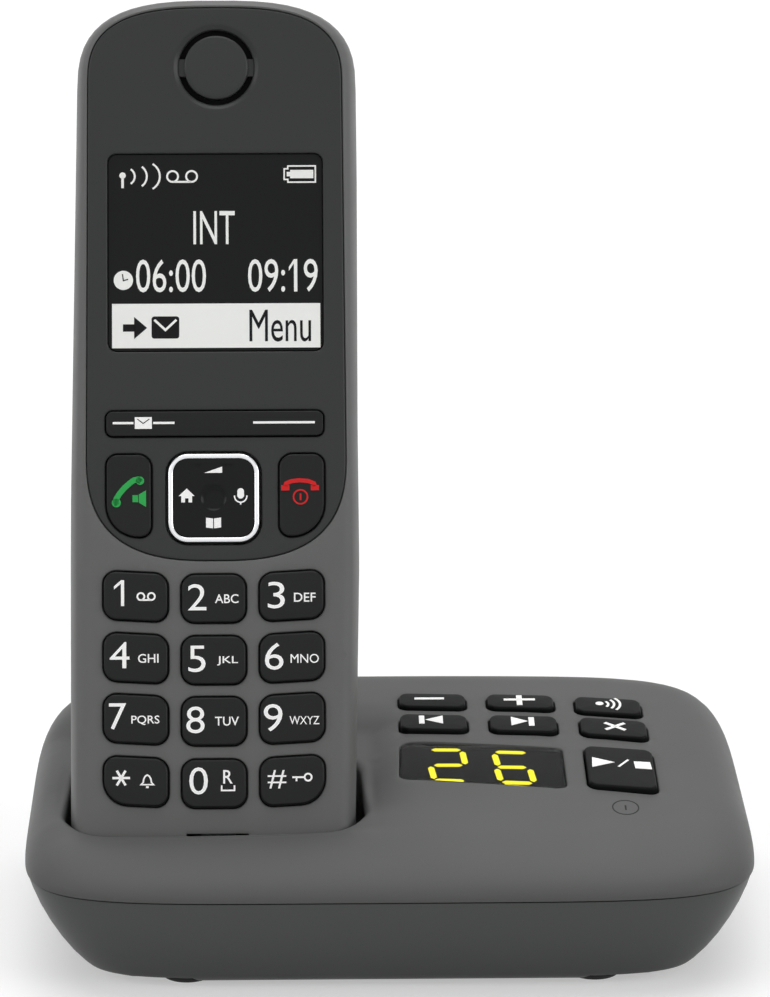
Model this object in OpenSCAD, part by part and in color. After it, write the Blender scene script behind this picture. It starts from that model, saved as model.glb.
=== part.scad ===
// Answering machine with a cordless handset docked in its cradle.
// Millimetres, +Z up. X runs along the width of the base, -Y is its front.
// The floor under the rubber feet is z = 0 and the base is centred on x = 0, y = 0.

/* [Base body] */
// Half of the base's width at its seam
base_half_w = 65; // [63:0.5:68]
// Half of the base's depth at its seam
base_half_d = 44; // [43:0.5:47]
// Height of the seam between the two base shells
seam_z = 18.5; // [18:0.25:19.5]
// Height of the top surface near its front
deck_front_z = 27.5; // [27:0.25:28.5]
// Rise of the top surface from front to back
deck_rise = 6.4; // [5.5:0.1:7]
// Wall thickness of the base shells
base_wall = 2.2; // [1.8:0.1:2.4]

/* [Base keys] */
// Width of the six small keys on the base
deck_key_w = 12.6; // [12:0.1:13]
// Depth of the six small keys on the base
deck_key_d = 6.7; // [6.3:0.1:6.9]
// Height of the base keys above the top surface
deck_key_h = 0.85; // [0.75:0.05:1]

/* [Handset] */
// Angle by which the docked handset leans back
lean = 20; // [19.5:0.25:20.5]
// Half of the handset's width
hs_half_w = 25.4; // [25:0.1:25.6]
// Thickness of the handset
hs_thick = 27; // [26:0.25:27.5]
// Wall thickness of the handset shells
hs_wall = 2; // [1.6:0.1:2.2]

/* [Handset keys] */
// Width of a keypad key
pad_key_w = 11.9; // [11:0.1:12.2]
// Height of a keypad key along the handset
pad_key_l = 9.3; // [8.6:0.1:9.6]
// How far the keypad keys stand proud of the face
pad_key_h = 0.7; // [0.3:0.1:1]

/* [Hidden] */
$fn = 40;
eps = 0.02;
// outline of the base: superellipse exponents at the seam, at the deck and at the bottom plate
seam_n = 5.8;
deck_n = 6.8;
plate_n = 7;
plate_half_w = 53.8;
plate_half_d = 36.3;
plate_z = 1.2;
// widths of the rounded shoulder at the sides, the front and the back
shoulder_x = 9;
shoulder_f = 15;
shoulder_r = 10.6;
shoulder_m = 2.1;
deck_slope = atan(deck_rise / 56);
deck_z = deck_front_z + deck_rise / 2;
// the cradle: centre line, half width, and the shallow dish around it
cradle_x = -30.5;
cradle_hw = 27.7;
dish_y0 = -27.5;
dish_y1 = 14;
dish_depth = 2.4;
dish_w = 8.5;
// the handset's own frame: x across, y from the face to the back, z along its length
hs_y = -30.23;
hs_z = 14.19;
hs_len = 160.9;
hs_split = 9.5;
hs_top_c = hs_len - 16;
hs_bot_c = 12;
hs_taper = 0.02;
// thickness of the wall behind the handset's face and depth of the inlaid faceplate
face_wall = 2.8;
plate_t = 1.25;
ring_n = 72;

// ---- numbers and outlines ----
function sgn(v) = v < 0 ? -1 : 1;
function spow(v, p) = sgn(v) * pow(abs(v), p);
// point of a superellipse in a given direction, with its own half depth in front and behind
function oval(a, bf, br, n, ang) =
    let (c = cos(ang), s = sin(ang), b = s < 0 ? bf : br,
         r = pow(pow(abs(c) / a, n) + pow(abs(s) / b, n), -1 / n))
    [r * c, r * s];
// directions that gather the points at the corners
function base_ang(i) =
    let (u = (i + 0.5) * 360 / ring_n)
    atan2(base_half_d * spow(sin(u), 0.6), base_half_w * spow(cos(u), 0.6));
function quarter(t, m) = pow(1 - pow(1 - t, m), 1 / m);
function dish(x, y) =
    let (dx = max(abs(x - cradle_x) - cradle_hw, 0),
         dy = max(dish_y0 - y, y - dish_y1, 0),
         k = max(0, 1 - norm([dx, dy]) / dish_w))
    dish_depth * k * k;
function deck(x, y) =
    deck_front_z + deck_rise * (y + 28) / 56
    - 0.53 * pow(x / 50, 2) - 0.6 * pow(y / 30, 2) - dish(x, y);
// ring of the upper base surface: t runs over the shoulder, w is the depth below the skin
function top_ring(t, w) =
    [for (i = [0 : ring_n - 1])
        let (p = oval(base_half_w - w - shoulder_x * t, base_half_d - w - shoulder_f * t,
                      base_half_d - w - shoulder_r * t, seam_n + (deck_n - seam_n) * t,
                      base_ang(i)),
             z0 = seam_z + 0.1)
        [p[0], p[1], z0 + (deck(p[0], p[1]) - w - z0) * quarter(t, shoulder_m)]];
// ring on the deck itself, the edge of the deck shrunk by f
function deck_ring(f, w) =
    [for (p = top_ring(1, w))
        let (x = p[0] * f, y = 2.2 + (p[1] - 2.2) * f)
        [x, y, deck(x, y) - w]];
// ring of the lower base surface, t from the seam down to the bottom plate
function bowl_ring(t, w) =
    let (f = 1 - pow(cos(90 * t), 1.54), g = pow(sin(90 * t), 1.54),
         a = base_half_w - 0.3 - w, b = base_half_d - 0.3 - w, z0 = seam_z - 0.15)
    [for (i = [0 : ring_n - 1])
        let (p = oval(a + (plate_half_w - w - a) * f, b + (plate_half_d - w - b) * f,
                      b + (plate_half_d - w - b) * f, seam_n + (plate_n - seam_n) * f,
                      base_ang(i)))
        [p[0], p[1], -(z0 + (plate_z + w - z0) * g)]];
// rounded box outline with four corner radii, inset by e, its rows sloping by k
function box_ring(w, l, rs, e, k, z) =
    [for (q = [0 : 3], i = [0 : 5])
        let (sx = (q == 0 || q == 3) ? 1 : -1, sy = q < 2 ? 1 : -1, r = rs[q], a = q * 90 + i * 18,
             x = sx * (w / 2 - r) + (r - e) * cos(a), y = sy * (l / 2 - r) + (r - e) * sin(a))
        [x, y + k * x, z]];
function flat(ring) = [for (p = ring) [p[0], p[1]]];
function back_of(z) = hs_thick - 7 * pow(max(0, z - 60) / 101, 1.6) - 1.2 * pow(max(0, 30 - z) / 30, 2);
// outline of the handset inset by ex at the sides and ez at the ends
function hs_outline(ex, ez) =
    let (a = hs_half_w - ex, ht = 16 - ez, hb = hs_bot_c - ez)
    [for (i = [0 : 47])
        let (j = i % 24, lower = i >= 24, u = min(j, 18) * 10 + (lower ? 180 : 0),
             side = max(j - 18, 0) / 6, p = lower ? 3 : 2.9,
             x0 = a * spow(cos(u), 2 / p),
             z0 = lower ? hs_bot_c - hb * pow(abs(sin(u)), 2 / p)
                        : hs_top_c + ht * pow(abs(sin(u)), 2 / p),
             z = side == 0 ? z0 : lower ? hs_bot_c + (hs_top_c - hs_bot_c) * side
                                        : hs_top_c + (hs_bot_c - hs_top_c) * side)
        [x0 * (1 - hs_taper * max(0, z - 60) / 80), z]];
function front_ring(t, w) =
    [for (p = hs_outline(w + 3 * t, w + 1.8 * t))
        [p[0], p[1], -hs_split + (hs_split - (w > 0 ? face_wall : 0)) * quarter(t, 2.3)]];
function back_ring(t, w) =
    [for (p = hs_outline(w + 9 * t, w + 9 * t))
        [p[0], p[1], hs_split + 0.1 + (back_of(p[1]) - w - hs_split - 0.1) * quarter(t, 2.2)]];
function back_cap(f, w) =
    [for (p = back_ring(1, w))
        let (x = p[0] * f, z = 80 + (p[1] - 80) * f)
        [x, z, back_of(z) - w]];

// ---- general solids ----
function sides(n, k, o, out) =
    [for (j = [0 : k - 2], i = [0 : n - 1], h = [0, 1])
        let (a = o + j * n + i, b = o + j * n + (i + 1) % n,
             f = h == 0 ? [a, a + n, b + n] : [a, b + n, b])
        out ? f : [f[2], f[1], f[0]]];
// solid between stacked outlines that all have the same number of points
module loft(rings) {
    n = len(rings[0]);
    k = len(rings);
    polyhedron(
        points = [for (r = rings, p = r) p],
        faces = concat(sides(n, k, 0, true), [[for (i = [0 : n - 1]) i]],
                       [[for (i = [0 : n - 1]) n * k - 1 - i]]));
}
// open dome: outer rings and inner rings start at the rim, and each set ends in a middle point
module dome(outer, inner, tip_out, tip_in) {
    n = len(outer[0]);
    ko = len(outer);
    ki = len(inner);
    o2 = n * ko;
    to = n * (ko + ki);
    polyhedron(
        points = concat([for (r = outer, p = r) p], [for (r = inner, p = r) p], [tip_out, tip_in]),
        faces = concat(
            sides(n, ko, 0, true),
            sides(n, ki, o2, false),
            [for (i = [0 : n - 1]) [n * (ko - 1) + i, to, n * (ko - 1) + (i + 1) % n]],
            [for (i = [0 : n - 1]) [o2 + n * (ki - 1) + (i + 1) % n, to + 1, o2 + n * (ki - 1) + i]],
            [for (i = [0 : n - 1]) [i, (i + 1) % n, o2 + (i + 1) % n]],
            [for (i = [0 : n - 1]) [i, o2 + (i + 1) % n, o2 + i]]));
}
// a solid dome: rings from the rim to the middle point, flat underneath
module lump(outer, tip) {
    n = len(outer[0]);
    k = len(outer);
    polyhedron(
        points = concat([for (r = outer, p = r) p], [tip]),
        faces = concat(
            sides(n, k, 0, true),
            [for (i = [0 : n - 1]) [n * (k - 1) + i, n * k, n * (k - 1) + (i + 1) % n]],
            [[for (i = [0 : n - 1]) i]]));
}
module on_deck(x = 0, y = 0) {
    translate([0, 0, deck_z])
        rotate([deck_slope, 0, 0])
            translate([x, y, 0])
                children();
}
module in_handset() {
    translate([cradle_x, hs_y, hs_z])
        rotate([-lean, 0, 0])
            children();
}
// the handset's face: x across, y up the handset, z out of the face
module on_face(x = 0, z = 0) {
    in_handset()
        translate([x, 0, z])
            rotate([90, 0, 0])
                children();
}
// the handset's back: z counts from the face towards the back
module on_back() {
    in_handset()
        rotate([90, 0, 0])
            mirror([0, 0, 1])
                children();
}
// key: pillowed cap, straight stem and a flange that stays under the wall
module push_key(w, l, rs, k, h, wall, flange, stem) {
    soft = min(h, 0.55);
    loft([
        box_ring(w, l, rs, 0.05, k, -wall - 0.3),
        box_ring(w, l, rs, 0, k, h - soft),
        box_ring(w, l, rs, 0.12, k, h - soft * 0.45),
        box_ring(w, l, rs, 0.42, k, h - soft * 0.12),
        box_ring(w, l, rs, 0.95, k, h)
    ]);
    loft([
        box_ring(w, l, rs, -flange, k, -wall - 0.95),
        box_ring(w, l, rs, -flange, k, -wall - 0.25)
    ]);
    translate([0, 0, -wall - 0.9 - stem])
        cylinder(d = 3, h = stem + 0.1);
}
module hole(w, l, rs, k, gap, z0, z1) {
    loft([box_ring(w, l, rs, -gap, k, z0), box_ring(w, l, rs, -gap, k, z1)]);
}

// ---- where the keys sit ----
// x, y, slope of the row, width, depth
deck_keys = [
    [8.7, 21.8, -0.05, deck_key_w, deck_key_d - 0.5],
    [25.1, 21.3, -0.07, deck_key_w, deck_key_d - 0.4],
    [41.3, 19.6, -0.15, deck_key_w - 0.2, deck_key_d + 0.3],
    [8.7, 11.9, -0.06, deck_key_w, deck_key_d + 0.2],
    [25.2, 11.3, -0.07, deck_key_w, deck_key_d + 0.4],
    [41.7, 9.7, -0.18, deck_key_w - 0.2, deck_key_d + 0.9],
    [41.9, -7, -0.18, deck_key_w - 0.1, deck_key_d * 2.46]
];
deck_r = [1.8, 1.8, 1.8, 1.8];
function drop_at(q) = 0.53 * pow(q[0] / 50, 2) + 0.6 * pow(q[1] / 30, 2) + dish(q[0], q[1]);
module deck_key(i) {
    q = deck_keys[i];
    on_deck(q[0], q[1])
        translate([0, 0, -drop_at(q)])
            push_key(q[3], q[4], deck_r, q[2], deck_key_h, base_wall + 0.5, 0.7, 0.2);
}
// keypad: column positions, rows and the corner rounding of each key
pad_x = [-13.8, 0, 13.8];
pad_z = [53.5, 42.6, 31.8, 20.8];
pad_round = 2.6;
function pad_rs(c, r) =
    [pad_round, pad_round, (r == 3 && c == 0) ? 4.4 : pad_round, (r == 3 && c == 2) ? 4.4 : pad_round];
function pad_k(c) = (c - 1) * 0.055;
function pad_at(c, r) = [pad_x[c], pad_z[r] - (c == 1 ? 0.45 : 0)];
module pad_key(c, r) {
    p = pad_at(c, r);
    on_face(p[0], p[1])
        push_key(pad_key_w, pad_key_l, pad_rs(c, r), pad_k(c), pad_key_h, face_wall, 0.7, 0.01);
}
// call keys beside the navigation key
call_x = 15.35;
call_z = 71.35;
call_w = 8.5;
call_l = 15;
function call_rs(s) = s < 0 ? [2.6, 2.2, 6, 2.2] : [2.2, 2.6, 2.2, 6];
nav_z = 70.9;
nav_w = 16.2;
nav_l = 15.8;
nav_rs = [3.6, 3.6, 3.6, 3.6];
soft_z = 84.15;
soft_w = 39;
soft_l = 5;
soft_rs = [1.4, 1.4, 1.4, 1.4];
ear_z = 148;
screen_z = 114.75;
screen_w = 38.4;
screen_l = 35.5;
screen_rs = [1.6, 1.6, 1.6, 1.6];
// the display window's four corners on the deck, its corner radii
window_at = [[31.7, 2.2], [2.4, 4.8], [2.05, -10], [31.8, -14.1]];
screw_at = [[5, -28], [47, -27], [47, 27], [-47, 24]];
screw_top = [25.3, 25.2, 31.4, 31];
post_at = [[30, -19], [50.5, -18.5], [3.2, 5.4], [50.6, 14]];
foot_at = [[-36, -29.5], [36, -29.5], [-36, 29.5], [36, 29.5]];
hs_screw_at = [[-14, 9.5], [14, 9.5], [-13, 147], [13, 147]];

// outline with rounded corners through four given points
function corner_pts(a, b, c, r) =
    let (u = (a - b) / norm(a - b), v = (c - b) / norm(c - b),
         h = acos(u * v) / 2, m = (u + v) / norm(u + v), ctr = b + m * r / sin(h),
         t1 = b + u * r / tan(h) - ctr, t2 = b + v * r / tan(h) - ctr,
         s = atan2(t1[1], t1[0]), e0 = atan2(t2[1], t2[0]), e = e0 < s ? e0 + 360 : e0)
    [for (i = [0 : 5]) ctr + r * [cos(s + (e - s) * i / 5), sin(s + (e - s) * i / 5)]];
function window_ring(grow, z) =
    [for (q = [0 : 3], p = corner_pts(window_at[(q + 3) % 4], window_at[q], window_at[(q + 1) % 4], q == 2 ? 2.6 : 1.6))
        let (c = [17.2, -4.4], d = p - c)
        [p[0] + sgn(d[0]) * grow, p[1] + sgn(d[1]) * grow,
         z + 0.003 * (p[0] - 17) + 0.0085 * (p[1] + 4.5)]];
module window_solid(grow, z0, z1) {
    loft([window_ring(grow, z0), window_ring(grow, z1)]);
}

// ---- base ----
// one level of the cradle: height, half width, front and back, grown by g
function cradle_ring(z, hw, yf, yb, r, g) =
    [for (p = box_ring(2 * (hw + g), yb - yf + 2 * g, [r + g, r + g, r + g, r + g], 0, 0, z))
        p + [0, (yf + yb) / 2, 0]];
module cradle_loft(g, z0) {
    // g is the thickness added all round for the tub's outside
    in_handset()
        loft([
            cradle_ring(z0, 17.4, -0.7, 22.7, 6, g),
            cradle_ring(max(z0, 0) + 0.1, 17.6, -0.7, 23, 6, g),
            cradle_ring(3, 22.8, -0.8, 26.6, 6, g),
            cradle_ring(6, 26.1, -0.9, 27.9, 7, g),
            cradle_ring(9.5, 27.3, -0.9, 28.4, 7.5, g),
            cradle_ring(14, 27.7, -0.9, 28.9, 8, g),
            cradle_ring(36, 27.9, -1, 29.4, 8, g)
        ]);
}
module upper_lump() {
    lump(concat([[for (p = top_ring(0, 0)) [p[0] * 0.93, p[1] * 0.93, 3]]],
                [for (t = [0, 0.05, 0.12, 0.22, 0.35, 0.55, 0.8, 1]) top_ring(t, 0)],
                [for (f = [0.88, 0.75, 0.6, 0.44, 0.28, 0.14]) deck_ring(f, 0)]),
         [0, 2.2, deck(0, 2.2)]);
}
module base_top_shell() {
    color([0.36, 0.37, 0.36])
    difference() {
        union() {
            dome(concat([for (t = [0, 0.05, 0.12, 0.22, 0.35, 0.55, 0.8, 1]) top_ring(t, 0)],
                        [for (f = [0.88, 0.75, 0.6, 0.44, 0.28, 0.14]) deck_ring(f, 0)]),
                 concat([for (t = [0, 0.12, 0.35, 0.65, 1]) top_ring(t, base_wall)],
                        [for (f = [0.75, 0.5, 0.25]) deck_ring(f, base_wall)]),
                 [0, 2.2, deck(0, 2.2)], [0, 2.2, deck(0, 2.2) - base_wall]);
            intersection() {
                cradle_loft(1.6, -2.2);
                upper_lump();
            }
            for (i = [0 : 3])
                translate([screw_at[i][0], screw_at[i][1], 14.6])
                    cylinder(d = 6.4, h = screw_top[i] - 14.6);
            for (p = post_at)
                on_deck(p[0], p[1])
                    translate([0, 0, -6.4])
                        cylinder(d = 4.4, h = 5);
        }
        cradle_loft(0, -0.5);
        for (q = deck_keys)
            on_deck(q[0], q[1])
                hole(q[3], q[4], deck_r, q[2], 0.3, -5.6, 3);
        on_deck()
            window_solid(0.15, -4, 3);
        for (i = [0 : 3])
            translate([screw_at[i][0], screw_at[i][1], 14])
                cylinder(d = 3, h = 9.2);
        for (p = post_at)
            on_deck(p[0], p[1])
                translate([0, 0, -6.5])
                    cylinder(d = 2.1, h = 4.4);
        in_handset()
            for (s = [-1, 1])
                translate([s * 5, 8, -4])
                    cylinder(d = 3.2, h = 8);
    }
}
module base_bottom_shell() {
    color([0.26, 0.27, 0.27])
    difference() {
        union() {
            mirror([0, 0, 1])
                dome(concat([for (t = [0, 0.15, 0.35, 0.6, 0.85, 1]) bowl_ring(t, 0)],
                            [[for (p = bowl_ring(1, 0)) [p[0] * 0.9, p[1] * 0.9, -plate_z]]]),
                     concat([for (t = [0, 0.25, 0.55, 0.85, 1]) bowl_ring(t, 2)],
                            [[for (p = bowl_ring(1, 2)) [p[0] * 0.9, p[1] * 0.9, -plate_z - 2]]]),
                     [0, 0, -plate_z], [0, 0, -plate_z - 2]);
            for (p = screw_at)
                translate([p[0], p[1], 3])
                    cylinder(d = 7.6, h = 11.4);
        }
        for (p = screw_at)
            translate([p[0], p[1], 0]) {
                cylinder(d = 6, h = 6.5);
                cylinder(d = 3.3, h = 20);
            }
        for (p = foot_at)
            translate([p[0], p[1], 0])
                cylinder(d = 10.3, h = 2);
        for (i = [-2 : 2])
            translate([24 + i * 5 - 1.1, -sqrt(196 - i * i * 25), 0])
                cube([2.2, 2 * sqrt(196 - i * i * 25), 5]);
        for (x = [-13, -34])
            translate([x - 7.15, 30, 4.85])
                cube([14.3, 20, 11.3]);
    }
}
module rubber_feet() {
    color([0.1, 0.1, 0.1])
    for (p = foot_at)
        translate([p[0], p[1], 0]) {
            cylinder(d1 = 8.8, d2 = 10, h = 0.7);
            translate([0, 0, 0.7 - eps])
                cylinder(d = 10, h = 1.28 + eps);
        }
}
module screw(head_d, head_h, d, l) {
    difference() {
        union() {
            cylinder(d = head_d, h = head_h);
            cylinder(d = d, h = head_h + l);
        }
        translate([0, 0, -eps]) {
            translate([-0.35, -head_d * 0.3, 0])
                cube([0.7, head_d * 0.6, head_h * 0.5]);
            translate([-head_d * 0.3, -0.35, 0])
                cube([head_d * 0.6, 0.7, head_h * 0.5]);
        }
    }
}
module base_screws() {
    color([0.6, 0.6, 0.62])
    for (i = [0 : 3])
        translate([screw_at[i][0], screw_at[i][1], 4.4])
            screw(5.6, 2, 2.9, 15);
}
module base_circuit_board() {
    color([0.1, 0.35, 0.2])
    on_deck()
        difference() {
            translate([0.6, -22, -8.05])
                cube([52, 48, 1.6]);
            for (p = post_at)
                translate([p[0], p[1], -9])
                    cylinder(d = 2.3, h = 4);
            translate([44, 20, -9])
                linear_extrude(4)
                    polygon([[10, -4], [10, 7], [-4, 7]]);
        }
}
module board_screws() {
    color([0.6, 0.6, 0.62])
    for (p = post_at)
        on_deck(p[0], p[1])
            translate([0, 0, -9.6])
                screw(4, 1.5, 2, 5);
}
module base_speaker_frame() {
    color([0.3, 0.3, 0.32])
    translate([24, 0, 3.3])
        rotate_extrude()
            polygon([[15.4, 0], [18, 0], [18, 1.4], [16.4, 1.4], [9.5, 7.2], [9.5, 8], [9, 8],
                     [9, 12.2], [0, 12.2], [0, 7], [7.6, 7], [8.6, 6.2], [15.4, 1]]);
}
module base_speaker_cone() {
    color([0.12, 0.12, 0.12])
    translate([24, 0, 3.3])
        rotate_extrude()
            polygon([[15, 0.2], [15.2, 0.7], [13.8, 1.1], [6.5, 5], [4.2, 5], [2.6, 4.2], [0, 3.6],
                     [0, 3], [2.8, 3.6], [4.6, 4.4], [6.3, 4.4], [13.2, 0.6], [14.2, 0.1]]);
}
module display_window() {
    color([0.2, 0.2, 0.2])
    on_deck()
        window_solid(0, -1.28, -0.45);
}
module digit_display() {
    color([0.08, 0.08, 0.08])
    on_deck()
    {
        translate([4.6, -12.2, -6.4])
            cube([24.6, 15.6, 2.9]);
        window_solid(-0.6, -3.6, -1.7);
    }
}
// one bar of a seven-bar digit, pointed at both ends
module bar(l) {
    polygon([[-l / 2, 0], [-l / 2 + 0.65, 0.65], [l / 2 - 0.65, 0.65],
             [l / 2, 0], [l / 2 - 0.65, -0.65], [-l / 2 + 0.65, -0.65]]);
}
module digit(on) {
    // top, upper left, upper right, middle, lower left, lower right, bottom
    at = [[-0.15, 6.1, 0], [-3.05, 3.1, 1], [3.05, 3, 1], [0, 0, 0], [-2.95, -3.1, 1], [3.15, -3.1, 1], [0.15, -6.1, 0]];
    for (i = on)
        translate([at[i][0], at[i][1]])
            rotate(at[i][2] * 95.5)
                bar(5.4);
}
module digit_segments() {
    color([0.92, 0.88, 0.2])
    on_deck()
        multmatrix([[1, 0, 0, 0], [0, 1, 0, 0], [0.003, 0.0085, 1, -1.68 - 0.013], [0, 0, 0, 1]])
            linear_extrude(0.3) {
                translate([10.8, -4.1])
                    multmatrix([[1, 0, 0, 0], [-0.1, 1, 0, 0], [0, 0, 1, 0], [0, 0, 0, 1]])
                        digit([0, 2, 3, 4, 6]);
                translate([22.7, -5.2])
                    multmatrix([[1, 0, 0, 0], [-0.1, 1, 0, 0], [0, 0, 1, 0], [0, 0, 0, 1]])
                        digit([0, 1, 3, 4, 5, 6]);
            }
}
module contact_block() {
    color([0.15, 0.15, 0.15])
    in_handset()
        difference() {
            translate([-8.5, 4.5, -5.6])
                cube([17, 7, 3.3]);
            for (s = [-1, 1])
                translate([s * 5, 8, -6])
                    cylinder(d = 2.9, h = 8);
        }
}
module contact_pin(s) {
    color([0.85, 0.7, 0.35])
    in_handset()
        translate([s * 5, 8, 0])
            rotate_extrude()
                polygon([[0, -4.6], [1.1, -4.6], [1.1, -0.7], [0.95, -0.3], [0.6, 0], [0, 0.12]]);
}
module charging_contact_left() {
    contact_pin(-1);
}
module charging_contact_right() {
    contact_pin(1);
}
module volume_down_key() {
    color([0.12, 0.12, 0.12])
        deck_key(0);
}
module volume_up_key() {
    color([0.12, 0.12, 0.12])
        deck_key(1);
}
module paging_key() {
    color([0.12, 0.12, 0.12])
        deck_key(2);
}
module previous_key() {
    color([0.12, 0.12, 0.12])
        deck_key(3);
}
module next_key() {
    color([0.12, 0.12, 0.12])
        deck_key(4);
}
module delete_key() {
    color([0.12, 0.12, 0.12])
        deck_key(5);
}
module play_stop_key() {
    color([0.12, 0.12, 0.12])
        deck_key(6);
}
module base_key_mat() {
    color([0.55, 0.56, 0.55])
    on_deck() {
        difference() {
            translate([0, 0, -6.4])
                linear_extrude(0.8)
                    polygon([[1.6, 7.6], [33.4, 7.6], [33.4, -15.4], [48, -15.4], [48, 17.6],
                             [42.6, 23], [42.6, 25.4], [1.6, 25.4]]);
            for (p = post_at)
                translate([p[0], p[1], -8])
                    cylinder(d = 5.2, h = 6);
        }
        for (q = deck_keys)
            translate([q[0], q[1], -5.7])
                cylinder(d1 = 5, d2 = 3.6, h = 1 - drop_at(q));
    }
}
// wall socket with a flat six-way opening, its mouth in the back of the base
module socket(x, w, h) {
    translate([x, 0, 0]) {
        difference() {
            translate([-7, 28, 5])
                cube([14, 12, 11]);
            translate([-w / 2, 30.5, 10.5 - h / 2])
                cube([w, 12, h]);
            translate([-1.6, 30.5, 10.5 - h / 2 - 1.4])
                cube([3.2, 12, 1.6]);
        }
        for (i = [-2 : 2])
            translate([i * 1.1 - 0.2, 30.4, 10.5 + h / 2 - 0.9])
                cube([0.4, 7, 0.4]);
    }
}
module power_socket() {
    color([0.1, 0.1, 0.1])
        socket(-13, 7.8, 6.6);
}
module phone_line_socket() {
    color([0.1, 0.1, 0.1])
        socket(-34, 9.8, 6.6);
}

// ---- handset ----
// outline of the inlaid faceplate
function face_outline(g) =
    [for (i = [0 : 39])
        let (u = i * 9 + 4.5, up = u < 180,
             x = spow(cos(u), 2 / (up ? 2.9 : 2.75)), z = pow(abs(sin(u)), 2 / (up ? 2.9 : 2.75)))
        [(up ? 22.6 + g : 23 + g) * x, up ? 144.7 + (14 + g) * z : 79 - (19.2 + g) * z]];
module handset_front_shell() {
    color([0.36, 0.37, 0.36])
    difference() {
        union() {
            on_face()
                dome(concat([for (t = [0, 0.1, 0.3, 0.6, 1]) front_ring(t, 0)],
                            [[for (p = front_ring(1, 0)) [p[0] * 0.6, 80 + (p[1] - 80) * 0.8, 0]]]),
                     concat([for (t = [0, 0.3, 1]) front_ring(t, hs_wall)],
                            [[for (p = front_ring(1, hs_wall)) [p[0] * 0.6, 80 + (p[1] - 80) * 0.8, -face_wall]]]),
                     [0, 80, 0], [0, 80, -face_wall]);
            for (p = hs_screw_at)
                on_face(p[0], p[1])
                    translate([0, 0, -9.3])
                        cylinder(d = 3.9, h = 7);
        }
        on_face()
            translate([0, 0, -1.3])
                linear_extrude(3)
                    polygon(face_outline(0.12));
        for (c = [0 : 2], r = [0 : 3])
            on_face(pad_at(c, r)[0], pad_at(c, r)[1])
                hole(pad_key_w, pad_key_l, pad_rs(c, r), pad_k(c), 0.3, -4, 2);
        for (s = [-1, 1])
            on_face(s * call_x, call_z)
                hole(call_w, call_l, call_rs(s), 0, 0.35, -4, 2);
        on_face(0, nav_z)
            hole(nav_w, nav_l, nav_rs, 0, 0.6, -4, 2);
        on_face(0, soft_z)
            hole(soft_w, soft_l, soft_rs, 0, 0.35, -4, 2);
        on_face(0, screen_z)
            hole(screen_w - 2, screen_l - 2, screen_rs, 0, 0, -4, 2);
        on_face(0, ear_z)
            translate([0, 0, -4])
                cylinder(d = 14.6, h = 6);
        on_face(0, 11.3)
            translate([-5.5, -0.35, -4])
                cube([11, 0.7, 6]);
        in_handset()
            for (s = [-1, 1])
                translate([s * 5 - 2.5, 6.5, -1])
                    cube([5, 4, 3]);
        for (p = hs_screw_at)
            on_face(p[0], p[1])
                translate([0, 0, -9.5])
                    cylinder(d = 2, h = 6);
    }
}
module handset_faceplate() {
    color([0.25, 0.26, 0.26])
    on_face()
        translate([0, 0, -plate_t - 0.03])
            linear_extrude(plate_t)
                difference() {
                    polygon(face_outline(0));
                    for (s = [-1, 1])
                        translate([s * call_x, call_z])
                            polygon(flat(box_ring(call_w, call_l, call_rs(s), -0.25, 0, 0)));
                    translate([0, nav_z])
                        polygon(flat(box_ring(nav_w, nav_l, nav_rs, -0.5, 0, 0)));
                    translate([0, soft_z])
                        polygon(flat(box_ring(soft_w, soft_l, soft_rs, -0.25, 0, 0)));
                    translate([0, screen_z])
                        polygon(flat(box_ring(screen_w, screen_l, screen_rs, 0, 0, 0)));
                    translate([0, ear_z])
                        circle(d = 13.8);
                }
}
module screen_lens() {
    color([0.12, 0.12, 0.12])
    on_face(0, screen_z)
        translate([0, 0, -1.28])
            linear_extrude(0.85)
                polygon(flat(box_ring(screen_w, screen_l, screen_rs, 0.1, 0, 0)));
}
module screen_module() {
    color([0.75, 0.76, 0.76])
    on_face(0, screen_z)
        translate([-19, -17.5, -5.6])
            cube([38, 35, 2.7]);
}
module earpiece_cap() {
    color([0.26, 0.27, 0.27])
    on_face(0, ear_z)
        difference() {
            union() {
                translate([0, 0, -1.28])
                    cylinder(d = 11.4, h = 1.25);
                translate([0, 0, -2.6])
                    cylinder(d = 14.3, h = 1.25);
                translate([-6.75, -0.6, -1.4])
                    cube([13.5, 1.2, 1.3]);
            }
            difference() {
                translate([0, 0, -3])
                    cylinder(d = 13.2, h = 1.3);
                translate([0, 0, -3])
                    cylinder(d = 10.4, h = 1.3);
                translate([-8, -1.2, -3])
                    cube([16, 2.4, 1.3]);
            }
            difference() {
                translate([0, 0, -3])
                    cylinder(d = 13.4, h = 2);
                translate([0, 0, -3])
                    cylinder(d = 11.4, h = 2);
                translate([-8, -0.9, -3])
                    cube([16, 1.8, 2]);
            }
        }
}
module earpiece_receiver() {
    color([0.5, 0.5, 0.5])
    on_face(0, ear_z)
        translate([0, 0, -5.8])
            difference() {
                cylinder(d = 12.5, h = 3);
                translate([0, 0, 2.5])
                    cylinder(d = 8, h = 1);
            }
}
module softkey_bar() {
    color([0.13, 0.14, 0.14])
    on_face(0, soft_z)
    {
        push_key(soft_w, soft_l, soft_rs, 0, 0.35, face_wall, 0, 0.01);
        // round rib that the bar rocks on
        translate([0, 0, -4.4])
            rotate([90, 0, 0])
                cylinder(d = 1.6, h = 4.6, center = true);
    }
}
module talk_key() {
    color([0.13, 0.14, 0.14])
    on_face(-call_x, call_z)
        push_key(call_w, call_l, call_rs(-1), 0, 0.4, face_wall, 0.6, 0.01);
}
module end_key() {
    color([0.13, 0.14, 0.14])
    on_face(call_x, call_z)
        push_key(call_w, call_l, call_rs(1), 0, 0.4, face_wall, 0.6, 0.01);
}
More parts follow.
